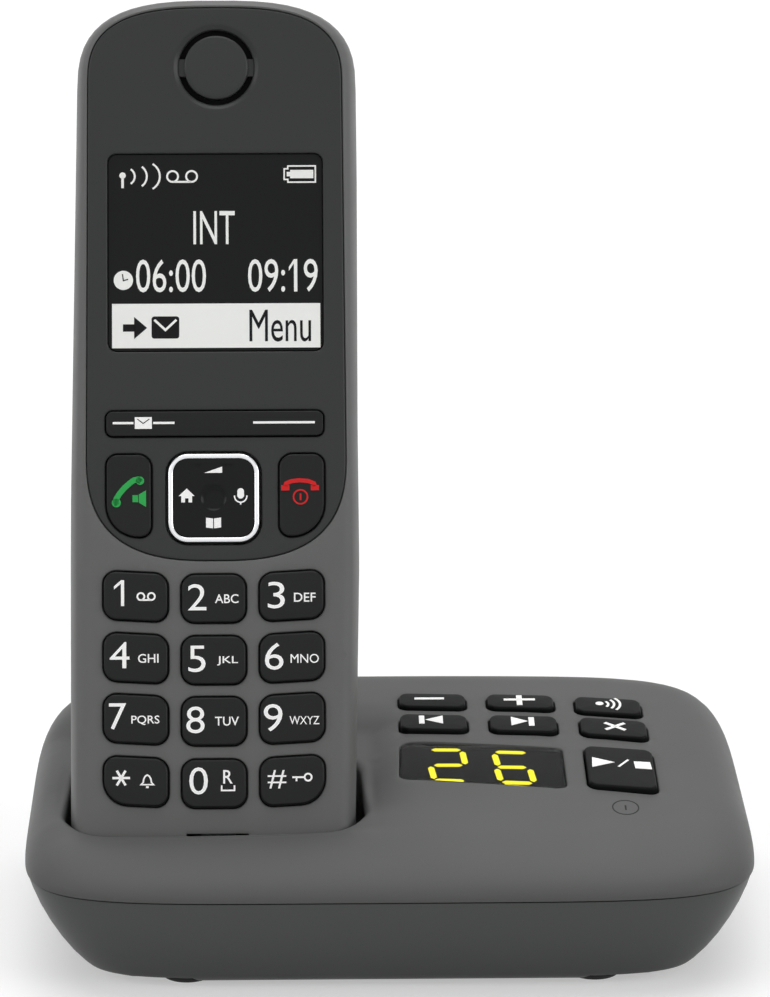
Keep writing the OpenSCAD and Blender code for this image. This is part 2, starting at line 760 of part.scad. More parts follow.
// two crossed round pivots: one pair carries the key, the other sits in the handset
module nav_pad() {
    color([0.6, 0.6, 0.6])
    on_face(0, nav_z)
        translate([0, 0, -4.6]) {
            rotate([0, 90, 0])
                cylinder(d = 1.2, h = 7, center = true);
            rotate([90, 0, 0])
                cylinder(d = 1.2, h = 5, center = true);
            cylinder(d = 2.6, h = 1.1, center = true);
        }
}
module nav_key() {
    color([0.7, 0.7, 0.72])
    on_face(0, nav_z)
        difference() {
            union() {
                loft([
                    box_ring(nav_w, nav_l, nav_rs, 0.05, 0, -3.4),
                    box_ring(nav_w, nav_l, nav_rs, 0, 0, 0.1),
                    box_ring(nav_w, nav_l, nav_rs, 0.2, 0, 0.4),
                    box_ring(nav_w, nav_l, nav_rs, 0.6, 0, 0.4),
                    box_ring(nav_w, nav_l, nav_rs, 0.9, 0, 0.2),
                    box_ring(nav_w, nav_l, nav_rs, 1.3, 0, 0.3)
                ]);
                for (e = [-1, 1])
                    translate([-1.4, e * 1.9 - 0.4, -5.4])
                        cube([2.8, 0.8, 2.1]);
            }
            translate([0, 0, -4.6])
                rotate([90, 0, 0])
                    cylinder(d = 1.24, h = 6, center = true);
            translate([0, 0, 2.9])
                sphere(d = 6.4, $fn = 32);
        }
}
module key_1() {
    color([0.14, 0.15, 0.15])
        pad_key(0, 0);
}
module key_2() {
    color([0.14, 0.15, 0.15])
        pad_key(1, 0);
}
module key_3() {
    color([0.14, 0.15, 0.15])
        pad_key(2, 0);
}
module key_4() {
    color([0.14, 0.15, 0.15])
        pad_key(0, 1);
}
module key_5() {
    color([0.14, 0.15, 0.15])
        pad_key(1, 1);
}
module key_6() {
    color([0.14, 0.15, 0.15])
        pad_key(2, 1);
}
module key_7() {
    color([0.14, 0.15, 0.15])
        pad_key(0, 2);
}
module key_8() {
    color([0.14, 0.15, 0.15])
        pad_key(1, 2);
}
module key_9() {
    color([0.14, 0.15, 0.15])
        pad_key(2, 2);
}
module key_star() {
    color([0.14, 0.15, 0.15])
        pad_key(0, 3);
}
module key_0() {
    color([0.14, 0.15, 0.15])
        pad_key(1, 3);
}
module key_hash() {
    color([0.14, 0.15, 0.15])
        pad_key(2, 3);
}
module keypad_mat() {
    color([0.55, 0.56, 0.55])
    on_face() {
        difference() {
            translate([-20, 15, -6])
                cube([40, 72.5, 0.7]);
            translate([0, nav_z, -7])
                cylinder(d = 6, h = 3);
        }
        // posts that the crossed pivots of the navigation key turn in
        for (s = [-1, 1])
            difference() {
                translate([s * 3.15 - 0.4, nav_z - 1.2, -5.35])
                    cube([0.8, 2.4, 1.45]);
                translate([0, nav_z, -4.6])
                    rotate([0, 90, 0])
                        cylinder(d = 1.3, h = 9, center = true);
            }
        for (c = [0 : 2], r = [0 : 3])
            translate([pad_at(c, r)[0], pad_at(c, r)[1], -5.35])
                cylinder(d1 = 5, d2 = 4, h = 0.9);
        for (s = [-1, 1])
            translate([s * call_x, call_z, -5.35])
                cylinder(d1 = 5, d2 = 4, h = 0.9);
    }
}
module handset_circuit_board() {
    color([0.1, 0.35, 0.2])
    on_face()
        difference() {
            union() {
                translate([-18.4, 15, -7.25])
                    cube([36.8, 124, 1.2]);
            }
            for (p = [[-10, 136], [10, 136]])
                translate([p[0], p[1], -8])
                    cylinder(d = 3, h = 3);
        }
}
module cover_zone(g) {
    on_back()
        loft([
            [for (p = box_ring(34 + 2 * g, 54 + 2 * g, [4, 4, 4, 4], 0, 0, 18)) p + [0, 63, 0]],
            [for (p = box_ring(34 + 2 * g, 54 + 2 * g, [4, 4, 4, 4], 0, 0, 34)) p + [0, 63, 0]]
        ]);
}
module back_dome() {
    on_back()
        dome(concat([for (t = [0, 0.12, 0.3, 0.6, 1]) back_ring(t, 0)], [for (f = [0.8, 0.55, 0.28]) back_cap(f, 0)]),
             concat([for (t = [0, 0.25, 0.6, 1]) back_ring(t, hs_wall)],
                    [for (f = [0.7, 0.35]) back_cap(f, hs_wall)]),
             [0, 80, back_of(80)], [0, 80, back_of(80) - hs_wall]);
}
module handset_back_shell() {
    color([0.33, 0.34, 0.33])
    difference() {
        union() {
            back_dome();
            on_back()
                difference() {
                    translate([-18.5, 34.5, 12.2])
                        cube([37, 57, 12.6]);
                    translate([-17, 36, 13.4])
                        cube([34, 54, 14]);
                }
            for (p = hs_screw_at)
                on_back()
                    translate([p[0], p[1], 9.7])
                        cylinder(d = 5, h = p[1] > 100 ? 10.6 : 15.6);
        }
        cover_zone(0.15);
        for (p = hs_screw_at)
            on_back()
                translate([p[0], p[1], 9]) {
                    cylinder(d = 2.3, h = 20);
                    translate([0, 0, 5.5])
                        cylinder(d = 3.8, h = 20);
                }
        for (i = [-1 : 1])
            on_back()
                translate([-6, 134 + i * 4, 15])
                    cube([12, 1.4, 14]);
        for (s = [-1, 1])
            on_back()
                translate([s * 5 - 2.6, -1, 6.4])
                    cube([5.2, 3, 4]);
    }
}
module battery_cover() {
    color([0.33, 0.34, 0.33])
    intersection() {
        back_dome();
        cover_zone(0);
    }
}
module batteries() {
    color([0.75, 0.75, 0.72])
    in_handset()
        for (s = [-1, 1])
            translate([s * 5.7, 18.8, s > 0 ? 40.4 : 84.6])
                mirror([0, 0, s > 0 ? 0 : 1]) {
                    cylinder(d = 10.3, h = 43.2);
                    cylinder(d = 3.6, h = 44.2);
                }
}
module battery_contacts() {
    color([0.8, 0.8, 0.82])
    in_handset()
        for (s = [-1, 1], e = [0, 1])
            translate([s * 5.7 - 4.4, 14.4, e == 0 ? 36.2 : 89.2])
                cube([8.8, 8, 0.5]);
}
module handset_charging_contacts() {
    color([0.85, 0.85, 0.87])
    in_handset()
        for (s = [-1, 1])
            translate([s * 5 - 2.4, 6.6, 0.45])
                cube([4.8, 2.8, 1.2]);
}
module microphone() {
    color([0.3, 0.3, 0.3])
    on_face(0, 11.3)
        translate([0, 0, -6])
            cylinder(d = 6, h = 3);
}
module handset_speaker() {
    color([0.3, 0.3, 0.32])
    on_back()
        translate([0, 134, 12])
            difference() {
                cylinder(d = 20, h = 5);
                translate([0, 0, 3.8])
                    cylinder(d1 = 6, d2 = 17, h = 1.4);
            }
}
module handset_screws() {
    color([0.6, 0.6, 0.62])
    for (p = hs_screw_at)
        on_back()
            translate([p[0], p[1], 16])
                mirror([0, 0, 1])
                    screw(3.4, 1.4, 1.85, 9.6);
}

base_top_shell();
base_bottom_shell();
rubber_feet();
base_screws();
base_circuit_board();
board_screws();
base_speaker_frame();
base_speaker_cone();
display_window();
digit_display();
digit_segments();
contact_block();
charging_contact_left();
charging_contact_right();
volume_down_key();
volume_up_key();
paging_key();
previous_key();
next_key();
delete_key();
play_stop_key();
base_key_mat();
power_socket();
phone_line_socket();
handset_back_shell();
handset_front_shell();
handset_faceplate();
screen_lens();
screen_module();
earpiece_cap();
earpiece_receiver();
softkey_bar();
talk_key();
end_key();
nav_pad();
nav_key();
key_1();
key_2();
key_3();
key_4();
key_5();
key_6();
key_7();
key_8();
key_9();
key_star();
key_0();
key_hash();
keypad_mat();
handset_circuit_board();
battery_cover();
batteries();
battery_contacts();
handset_charging_contacts();
microphone();
handset_speaker();
handset_screws();
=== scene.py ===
# %% [markdown]
# # Answering machine with a docked cordless handset
# The imported CAD model is the skeleton: every part sits where it really sits, and each moving part already
# belongs to a body that can move. Blender's job is the skin. We first load the frame.

# %% Load the frame
import bmesh
import bpy
import math
import numpy as np
from mathutils import Matrix, Vector
from mathutils.geometry import delaunay_2d_cdt


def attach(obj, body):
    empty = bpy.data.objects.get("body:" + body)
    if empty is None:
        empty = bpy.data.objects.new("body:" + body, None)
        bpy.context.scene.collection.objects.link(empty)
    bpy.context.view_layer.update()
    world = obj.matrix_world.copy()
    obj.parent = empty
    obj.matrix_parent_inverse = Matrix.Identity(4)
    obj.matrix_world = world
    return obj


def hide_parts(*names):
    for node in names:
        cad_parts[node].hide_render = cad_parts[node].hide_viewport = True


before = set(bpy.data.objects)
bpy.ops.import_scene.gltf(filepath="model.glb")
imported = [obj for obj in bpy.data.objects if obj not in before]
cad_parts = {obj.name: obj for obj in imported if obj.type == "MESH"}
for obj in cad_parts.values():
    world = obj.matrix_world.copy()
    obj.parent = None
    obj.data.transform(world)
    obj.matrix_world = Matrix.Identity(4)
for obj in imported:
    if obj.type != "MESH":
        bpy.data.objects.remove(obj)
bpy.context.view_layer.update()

scene = bpy.context.scene
MM = 0.001

# %% [markdown]
# ## Camera
# The picture was taken with a long lens from a little above the base. A long lens keeps the handset's sides
# nearly parallel. Place, tilt and focal length were found by fitting the outline of the base, so the camera
# is written down as plain numbers and no shift is needed.

# %% Camera
camera = bpy.data.objects.new("camera", bpy.data.cameras.new("camera"))
scene.collection.objects.link(camera)
camera.location = (-0.0155, -0.7889, 0.3051)
pitch, yaw = math.radians(16), math.radians(1.09)
sight = Vector((math.sin(yaw) * math.cos(pitch), math.cos(yaw) * math.cos(pitch), -math.sin(pitch)))
camera.rotation_euler = sight.to_track_quat("-Z", "Y").to_euler()
camera.data.sensor_width = 36
camera.data.lens = 4592 * 36 / 997
camera.data.clip_start, camera.data.clip_end = 0.01, 30
scene.camera = camera
scene.view_settings.view_transform = "Standard"
print("lens", round(camera.data.lens, 1), "mm")

# %% [markdown]
# ## Light and floor
# A product picture on white is lit by big soft sources. Broad sun lamps do that job here: they light the
# floor evenly however far it reaches, and their wide angle gives the soft shadow beside the base. Rays that
# are looked along (camera, glossy and transmission rays) meet pure white surroundings. For all other light
# the surroundings are turned down, so the lamps shape the object. The floor glows a little for the same
# three kinds of ray, which makes it about as white as the surroundings.

# %% Node helpers
def feed(links, value, socket):
    """Gives a socket a number, or links it to another node's output."""
    if hasattr(value, "links"):
        links.new(value, socket)
    else:
        socket.default_value = value


def maths(nodes, links, operation, *values):
    node = nodes.new("ShaderNodeMath")
    node.operation = operation
    for value, socket in zip(values, node.inputs):
        feed(links, value, socket)
    return node.outputs[0]


def map_range(nodes, links, value, low, high, start=0.0, end=1.0):
    node = nodes.new("ShaderNodeMapRange")
    for label, given in (("Value", value), ("From Min", start), ("From Max", end), ("To Min", low),
                         ("To Max", high)):
        feed(links, given, node.inputs[label])
    return node.outputs["Result"]


def noise(nodes, links, place, scale, detail):
    node = nodes.new("ShaderNodeTexNoise")
    node.inputs["Detail"].default_value = detail
    links.new(place, node.inputs["Vector"])
    feed(links, scale, node.inputs["Scale"])
    return node.outputs["Fac"]


def looked_along(nodes, links):
    """One for camera, glossy and transmission rays, nought for the others."""
    path = nodes.new("ShaderNodeLightPath").outputs
    seen = maths(nodes, links, "MAXIMUM", path["Is Camera Ray"], path["Is Transmission Ray"])
    return maths(nodes, links, "MAXIMUM", seen, path["Is Glossy Ray"])


print("node helpers ready")

# %% Lamps, world and floor
def soft_sun(name, azimuth, elevation, spread, strength):
    lamp = bpy.data.lights.new(name, "SUN")
    lamp.angle = math.radians(spread)
    lamp.energy = strength
    thing = bpy.data.objects.new(name, lamp)
    a, e = math.radians(azimuth), math.radians(elevation)
    towards = Vector((math.sin(a) * math.cos(e), -math.cos(a) * math.cos(e), math.sin(e)))
    thing.rotation_euler = towards.to_track_quat("Z", "Y").to_euler()
    scene.collection.objects.link(thing)
    return thing


for name, azimuth, elevation, spread, strength in (
        ("overhead_box", 180, 76, 56, 1.85), ("front_fill", -8, 30, 60, 0.23),
        ("right_strip", 66, 20, 28, 0.7), ("left_strip", -74, 22, 30, 0.5)):
    soft_sun(name, azimuth, elevation, spread, strength)

SURROUNDINGS, FLOOR_GLOW = (0.3, 1.0), 0.42
world = bpy.data.worlds.new("studio")
world.use_nodes = True
scene.world = world
nodes, links = world.node_tree.nodes, world.node_tree.links
nodes["Background"].inputs["Color"].default_value = (1, 1, 1, 1)
strength = map_range(nodes, links, looked_along(nodes, links), *SURROUNDINGS)
links.new(strength, nodes["Background"].inputs["Strength"])


def floor_finish():
    made = bpy.data.materials.new("studio_floor")
    made.use_nodes = True
    nodes, links = made.node_tree.nodes, made.node_tree.links
    shader = nodes["Principled BSDF"].inputs
    paper = noise(nodes, links, nodes.new("ShaderNodeTexCoord").outputs["Object"], 40, 2)
    links.new(map_range(nodes, links, paper, 0.8, 0.9), shader["Roughness"])
    shader["Base Color"].default_value = (0.62, 0.62, 0.62, 1)
    shader["Emission Color"].default_value = (1, 1, 1, 1)
    glow = maths(nodes, links, "MULTIPLY", looked_along(nodes, links), FLOOR_GLOW)
    links.new(glow, shader["Emission Strength"])
    shader["Specular IOR Level"].default_value = 0.0
    return made


mesh = bpy.data.meshes.new("studio_floor")
mesh.from_pydata([(-5, -3, 0), (5, -3, 0), (5, 6, 0), (-5, 6, 0)], [], [(0, 1, 2, 3)])
mesh.materials.append(floor_finish())
floor = bpy.data.objects.new("studio_floor", mesh)
scene.collection.objects.link(floor)
print("floor 10 x 9 m")

# %% [markdown]
# ## Shared surface effects
# Moulded plastic is never perfectly even. Its mould was spark eroded, which leaves a fine grain, and hands
# and dust change its sheen a little from place to place. Both effects are wanted on nearly every part, so
# each is a node group that is made once. A group only hands out values and colours that vary over the
# surface; the shader itself stays in each material.

# %% Node groups
def new_group(name, inputs, outputs):
    group = bpy.data.node_groups.new(name, "ShaderNodeTree")
    for label, kind, value in inputs:
        socket = group.interface.new_socket(label, in_out="INPUT", socket_type=kind)
        socket.default_value = value
    for label, kind in outputs:
        group.interface.new_socket(label, in_out="OUTPUT", socket_type=kind)
    given, result = group.nodes.new("NodeGroupInput"), group.nodes.new("NodeGroupOutput")
    return group, group.nodes, group.links, given.outputs, result.inputs


FLOAT, COLOUR = "NodeSocketFloat", "NodeSocketColor"
PIT_SHARE, SPECK_SHARE = 0.35, 0.35
grain, nodes, links, given, result = new_group(
    "moulded_grain", [("Scale", FLOAT, 3000.0)], [("Height", FLOAT), ("Mask", FLOAT)])
place = nodes.new("ShaderNodeTexCoord").outputs["Object"]
fine = noise(nodes, links, place, given["Scale"], 3)
pits = nodes.new("ShaderNodeTexVoronoi")
links.new(place, pits.inputs["Vector"])
links.new(given["Scale"], pits.inputs["Scale"])
links.new(maths(nodes, links, "MULTIPLY_ADD", pits.outputs["Distance"], PIT_SHARE, fine), result["Height"])
links.new(fine, result["Mask"])

sheen, nodes, links, given, result = new_group(
    "uneven_sheen",
    [("Smooth", FLOAT, 0.3), ("Rough", FLOAT, 0.4), ("Tone A", COLOUR, (0.1, 0.1, 0.1, 1)),
     ("Tone B", COLOUR, (0.12, 0.12, 0.12, 1)), ("Scale", FLOAT, 60.0)],
    [("Roughness", FLOAT), ("Colour", COLOUR)])
place = nodes.new("ShaderNodeTexCoord").outputs["Object"]
cloud = noise(nodes, links, place, given["Scale"], 4)
speck = noise(nodes, links, place, 2600.0, 2)
links.new(map_range(nodes, links, cloud, given["Smooth"], given["Rough"], 0.3, 0.7), result["Roughness"])
clouds = maths(nodes, links, "MULTIPLY", cloud, 1 - SPECK_SHARE)
blend = nodes.new("ShaderNodeMix")
blend.data_type = "RGBA"
links.new(maths(nodes, links, "MULTIPLY_ADD", speck, SPECK_SHARE, clouds), blend.inputs["Factor"])
links.new(given["Tone A"], blend.inputs["A"])
links.new(given["Tone B"], blend.inputs["B"])
links.new(blend.outputs["Result"], result["Colour"])
print("groups:", [g.name for g in bpy.data.node_groups])

# %% [markdown]
# ## Finishes
# One helper makes a finish from the two groups. Colours are written as the eye sees them on a screen, 0 to
# 255, and turned into the linear values that light works with. Tone A and tone B are a few percent apart,
# so a large face is not one dead flat colour.

# %% Finish helper
def eye(r, g, b, gain=1.0):
    def linear(v):
        v = v / 255
        return v / 12.92 if v <= 0.04045 else ((v + 0.055) / 1.055) ** 2.4
    return tuple(min(1.0, linear(v) * gain) for v in (r, g, b)) + (1.0,)


def finish(name, rgb, smooth, rough, scale=3000.0, bump=0.02, metal=0.0, level=0.5, tone=0.05,
           coat=0.0, glow=0.0, clear=0.0, bend=1.5):
    made = bpy.data.materials.new(name)
    made.use_nodes = True
    nodes, links = made.node_tree.nodes, made.node_tree.links
    shader = nodes["Principled BSDF"]
    base = eye(*rgb)
    group = nodes.new("ShaderNodeGroup")
    group.node_tree = sheen
    group.inputs["Smooth"].default_value = smooth
    group.inputs["Rough"].default_value = rough
    group.inputs["Tone A"].default_value = tuple(min(1, v * (1 - tone)) for v in base[:3]) + (1,)
    group.inputs["Tone B"].default_value = tuple(min(1, v * (1 + tone)) for v in base[:3]) + (1,)
    links.new(group.outputs["Colour"], shader.inputs["Base Color"])
    links.new(group.outputs["Roughness"], shader.inputs["Roughness"])
    shader.inputs["Metallic"].default_value = metal
    shader.inputs["Specular IOR Level"].default_value = level
    shader.inputs["Coat Weight"].default_value = coat
    shader.inputs["IOR"].default_value = bend
    if glow:
        links.new(group.outputs["Colour"], shader.inputs["Emission Color"])
        shader.inputs["Emission Strength"].default_value = glow
    if clear:
        shader.inputs["Transmission Weight"].default_value = clear
    if bump:
        texture = nodes.new("ShaderNodeGroup")
        texture.node_tree = grain
        texture.inputs["Scale"].default_value = scale
        raised = nodes.new("ShaderNodeBump")
        raised.inputs["Strength"].default_value = 0.5
        raised.inputs["Distance"].default_value = bump * MM
        links.new(texture.outputs["Height"], raised.inputs["Height"])
        links.new(raised.outputs["Normal"], shader.inputs["Normal"])
    return made


# %% Finishes of the base and the handset
top_plastic = finish("base_top_plastic", (91, 92, 91), 0.44, 0.54, level=0.12)
# The lower shell's plastic is coloured darker than the top's: painted shade for its bowl, which faces down
# and gets less light.
bottom_plastic_painted_shade = finish("base_bottom_plastic", (81, 83, 82), 0.42, 0.52, level=0.2)
housing_plastic = finish("handset_housing_plastic", (104, 105, 104), 0.42, 0.52, level=0.2)
back_plastic = finish("handset_back_plastic", (84, 86, 85), 0.46, 0.56, level=0.22)
plate_plastic = finish("faceplate_plastic", (52, 54, 53), 0.3, 0.4, bump=0.006, level=0.2)
disc_plastic = finish("earpiece_plastic", (54, 56, 55), 0.34, 0.44, bump=0.006, level=0.2)
key_plastic = finish("keypad_key_plastic", (27, 28, 28), 0.3, 0.4, bump=0.01, level=0.16)
deck_key_plastic = finish("base_key_plastic", (22, 23, 23), 0.36, 0.48, bump=0.012, level=0.05)
gloss_black = finish("gloss_black_plastic", (20, 21, 21), 0.16, 0.26, bump=0.003, level=0.12)
screen_glass = finish("screen_glass", (24, 25, 25), 0.12, 0.2, bump=0.002, level=0.1)
gauze = finish("dark_gauze", (14, 14, 14), 0.7, 0.85, scale=2200, bump=0.05, level=0.1)
chrome = finish("plated_frame", (215, 216, 218), 0.12, 0.22, bump=0.002, metal=1.0)
# The white print also glows a little: painted light, since ink is no lamp and gives no light of its own.
white_ink_painted_glow = finish("white_ink_painted_glow", (252, 252, 251), 0.5, 0.6, bump=0.004, tone=0.02, level=0.2, glow=0.12)
dark_ink = finish("dark_ink", (34, 35, 35), 0.5, 0.6, bump=0.004, level=0.15)
green_ink = finish("green_ink", (52, 176, 86), 0.45, 0.55, bump=0.004, level=0.2)
red_ink = finish("red_ink", (222, 38, 40), 0.45, 0.55, bump=0.004, level=0.2)
screen_white = finish("lit_screen_white", (242, 243, 240), 0.4, 0.5, bump=0.002, tone=0.015, glow=0.12,
                      level=0.1)
screen_dark = finish("unlit_screen_mark", (24, 24, 26), 0.4, 0.5, bump=0.002, level=0.1)
smoked = finish("smoked_window", (222, 222, 223), 0.02, 0.06, bump=0.0005, level=0.5, clear=1.0, bend=1.075)
window_floor = finish("window_floor", (22, 23, 23), 0.5, 0.6, bump=0.003, level=0.05)
lit_bar = finish("lit_yellow_bar", (244, 230, 40), 0.4, 0.5, bump=0.002, glow=0.9, level=0.1)
print("finishes so far:", len(bpy.data.materials))

# %% [markdown]
# ## Finishes of the small and inner parts
# Rubber, board, solder-bright contacts and pressed steel are seen through gaps, from below, or when the
# battery cover is off. They get the same treatment, with their own grain.

# %% Finishes of small parts
rubber = finish("foot_rubber", (34, 34, 34), 0.7, 0.85, scale=1800, bump=0.04)
silicone = finish("silicone_mat", (120, 122, 120), 0.5, 0.65, scale=1500, bump=0.02)
steel = finish("screw_steel", (170, 170, 172), 0.28, 0.42, scale=4200, bump=0.008, metal=1.0)
contact_metal = finish("contact_plating", (222, 200, 140), 0.2, 0.34, scale=4200, bump=0.006, metal=1.0)
board_green = finish("circuit_board_green", (28, 84, 52), 0.3, 0.45, scale=900, bump=0.02, tone=0.18)
dark_metal = finish("dark_pressed_steel", (70, 71, 73), 0.35, 0.5, bump=0.012, metal=0.6)
cone_paper = finish("speaker_cone_paper", (30, 30, 30), 0.75, 0.9, scale=1400, bump=0.05)
black_plastic = finish("black_plastic", (30, 30, 30), 0.38, 0.5, bump=0.015, level=0.2)
cell_wrap = finish("cell_wrap", (196, 198, 190), 0.3, 0.42, bump=0.004)
module_plastic = finish("module_plastic", (188, 190, 188), 0.45, 0.55, bump=0.01)
CARRIED = {
    "rubber_feet": rubber, "base_screws": steel, "base_circuit_board": board_green, "board_screws": steel,
    "base_speaker_frame": dark_metal, "base_speaker_cone": cone_paper, "contact_block": black_plastic,
    "charging_contact_left": contact_metal, "charging_contact_right": contact_metal,
    "base_key_mat": silicone, "power_socket": black_plastic, "phone_line_socket": black_plastic,
    "screen_module": module_plastic, "earpiece_receiver": dark_metal, "nav_pad": steel,
    "keypad_mat": silicone, "handset_circuit_board": board_green, "batteries": cell_wrap,
    "battery_contacts": steel, "microphone": dark_metal, "handset_speaker": dark_metal,
    "handset_screws": steel,
}
for name, made in CARRIED.items():
    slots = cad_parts[name].data.materials
    slots.clear()
    slots.append(made)
print("CAD parts that keep their shape:", len(CARRIED))

# %% [markdown]
# ## Meshes from points
# Everything visible is made from lists of points in millimetres. The first helper turns points and faces into
# an object in metres, puts it in place with a matrix and lets it ride on its body. Points that coincide are
# joined first, so rows of faces that were made apart become one closed surface. Shading is smooth, but edges
# stay sharp where two faces meet at more than a set angle.

# %% Mesh helper
def solid(name, points, faces, made, body, place=None, crease=38):
    mesh = bpy.data.meshes.new(name)
    mesh.from_pydata((np.asarray(points, float) * MM).tolist(), [], [tuple(map(int, f)) for f in faces])
    if place is not None:
        mesh.transform(place)
    work = bmesh.new()
    work.from_mesh(mesh)
    bmesh.ops.remove_doubles(work, verts=work.verts, dist=0.002 * MM)
    bmesh.ops.recalc_face_normals(work, faces=work.faces)
    work.to_mesh(mesh)
    torn = [e.verts[0].co / MM for e in work.edges if not e.is_manifold]
    if torn:
        print("  open edges on", name, len(torn), [tuple(round(v, 1) for v in p) for p in torn[::12]])
    work.free()
    mesh.materials.append(made)
    mesh.shade_smooth()
    mesh.set_sharp_from_angle(angle=math.radians(crease))
    thing = bpy.data.objects.new(name, mesh)
    scene.collection.objects.link(thing)
    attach(thing, body)
    return thing


def at(spots, z):
    """Plan points with a height, the same for all or one for each."""
    spots = np.asarray(spots, float)
    return np.column_stack([spots, np.broadcast_to(np.asarray(z, float), len(spots))])


def strip(a, b):
    """Quads between two closed rows of point numbers."""
    n = len(a)
    return [(a[i], a[(i + 1) % n], b[(i + 1) % n], b[i]) for i in range(n)]


class Sheet:
    """Points and faces that grow row by row. A row is a list of point numbers."""

    def __init__(self):
        self.parts, self.faces, self.count = [], [], 0

    def all(self):
        return np.concatenate(self.parts)

    def add(self, points):
        """Adds points and returns their numbers."""
        self.parts.append(np.asarray(points, float))
        self.count += len(points)
        return list(range(self.count - len(points), self.count))

    def join(self, *rows):
        """Quads between each row and the next."""
        for a, b in zip(rows, rows[1:]):
            self.faces += strip(a, b)

    def close(self, *rows):
        """One face over each row."""
        self.faces += [tuple(row) for row in rows]

    def prism(self, *rings):
        """A closed solid from rings that are stacked one on another."""
        rows = [self.add(ring) for ring in rings]
        self.join(*rows)
        self.close(rows[0], rows[-1])

    def brick(self, x0, x1, y0, y1, z0, z1):
        self.prism(*[at([(x0, y0), (x1, y0), (x1, y1), (x0, y1)], z) for z in (z0, z1)])

    def plates(self, spots, triangles, high, low):
        """The same triangles at two heights. Returns the point numbers of both."""
        both = self.add(at(spots, high)), self.add(at(spots, low))
        for ids in both:
            self.faces += (triangles + ids[0]).tolist()
        return both


def inside(points, loop):
    """Which points lie inside a closed outline."""
    x, y = points[:, 0][:, None], points[:, 1][:, None]
    a, b = np.asarray(loop, float), np.roll(np.asarray(loop, float), -1, axis=0)
    crosses = (a[:, 1] > y) != (b[:, 1] > y)
    rise = np.where(np.abs(b[:, 1] - a[:, 1]) < 1e-12, 1e-12, b[:, 1] - a[:, 1])
    at = a[:, 0] + (y - a[:, 1]) / rise * (b[:, 0] - a[:, 0])
    return (crosses & (x < at)).sum(1) % 2 == 1


def clear_of(points, others, gap):
    """Keeps the points that are at least gap away from all the others."""
    keep = np.ones(len(points), bool)
    for start in range(0, len(others), 300):
        d = points[:, None, :] - others[None, start:start + 300, :]
        keep &= (d * d).sum(2).min(1) > gap * gap
    return points[keep]


print("mesh helpers ready")

# %% [markdown]
# ## Sheets with holes
# The housings are thin shells with many openings: keys, window, cradle. Cutting these with booleans leaves
# poor shading, so the sheet is meshed with its holes instead. In plan, the outline, the holes and the rings
# that round off each hole's edge are fixed lines, loose points fill the rest, and a constrained triangulation
# joins them all.

# %% Plan helper
def plan_mesh(outline, holes, rings, loose, gap):
    """Triangles inside outline and outside the holes. Returns spots, faces and the source of each spot."""
    loops = [np.asarray(l, float) for l in [outline, *holes, *rings]]
    fixed = np.concatenate(loops)
    loose = np.asarray(loose, float)
    loose = loose[inside(loose, loops[0])]
    for hole in holes:
        loose = loose[~inside(loose, hole)]
    loose = clear_of(loose, fixed, gap)
    points, edges, start = np.concatenate([fixed, loose]), [], 0
    for loop in loops:
        n = len(loop)
        edges += [(start + i, start + (i + 1) % n) for i in range(n)]
        start += n
    found = delaunay_2d_cdt([Vector(p) for p in points.tolist()], edges, [], 0, 1e-6)
    spots = np.array([tuple(p) for p in found[0]], float)
    source = np.array([min(o) if o else -1 for o in found[3]])
    spots[source >= 0] = points[source[source >= 0]]
    faces = np.array([f for f in found[2] if len(f) == 3], int)
    zone = zones(faces, {tuple(sorted((int(a), int(b)))) for a, b in edges}, source)
    corners = spots[faces]
    middle = corners.mean(1)
    one, two = corners[:, 1] - corners[:, 0], corners[:, 2] - corners[:, 0]
    area = np.abs(one[:, 0] * two[:, 1] - one[:, 1] * two[:, 0])
    good = inside(middle, loops[0])
    for hole in holes:
        good &= ~inside(middle, hole)
    vote = np.bincount(zone, np.where(good, area, -area))
    return spots, faces[vote[zone] > 0.001], source


def zones(faces, walls, source):
    """Numbers the patches of triangles that the fixed lines keep apart."""
    parent = list(range(len(faces)))

    def root(i):
        while parent[i] != i:
            parent[i] = parent[parent[i]]
            i = parent[i]
        return i

    seen = {}
    for k, f in enumerate(faces.tolist()):
        for a, b in ((f[0], f[1]), (f[1], f[2]), (f[2], f[0])):
            key = (a, b) if a < b else (b, a)
            if key in seen:
                origin = tuple(sorted((int(source[a]), int(source[b]))))
                if origin not in walls:
                    parent[root(k)] = root(seen[key])
            else:
                seen[key] = k
    roots = np.array([root(i) for i in range(len(faces))])
    return np.unique(roots, return_inverse=True)[1].ravel()


def loop_ids(source, loops):
    """For each of the first loops of a plan mesh, the numbers of its points."""
    index, start, ids = {int(s): i for i, s in enumerate(source) if s >= 0}, 0, []
    for loop in loops:
        ids.append([index[start + i] for i in range(len(loop))])
        start += len(loop)
    return ids


def drops_at(source, loops, drops):
    """How far each point lies below the surface: the drop of its loop, or nothing for a loose point."""
    spread = np.concatenate([np.full(len(loop), float(d)) for loop, d in zip(loops, drops)])
    return np.where((source >= 0) & (source < len(spread)), spread[np.clip(source, 0, len(spread) - 1)], 0)


def slab(spots, triangles, source, high, low, loops):
    """A plate between two heights that is closed along the first loops of its plan mesh."""
    sheet = Sheet()
    top, under = sheet.plates(spots, triangles, high, low)
    for ids in loop_ids(source, loops):
        sheet.join([top[i] for i in ids], [under[i] for i in ids])
    return sheet


def grid(x0, x1, y0, y1, step):
    x, y = np.arange(x0, x1, step), np.arange(y0, y1, step * 0.87)
    gx, gy = np.meshgrid(x, y)
    gx = gx + (np.arange(len(y)) % 2)[:, None] * step / 2
    return np.stack([gx.ravel(), gy.ravel()], -1)


def fall(d, r):
    """How far a rounded edge of radius r falls at distance d from the edge."""
    d = np.clip(np.asarray(d, float), 0, r)
    return r - np.sqrt(r * r - (r - d) ** 2)


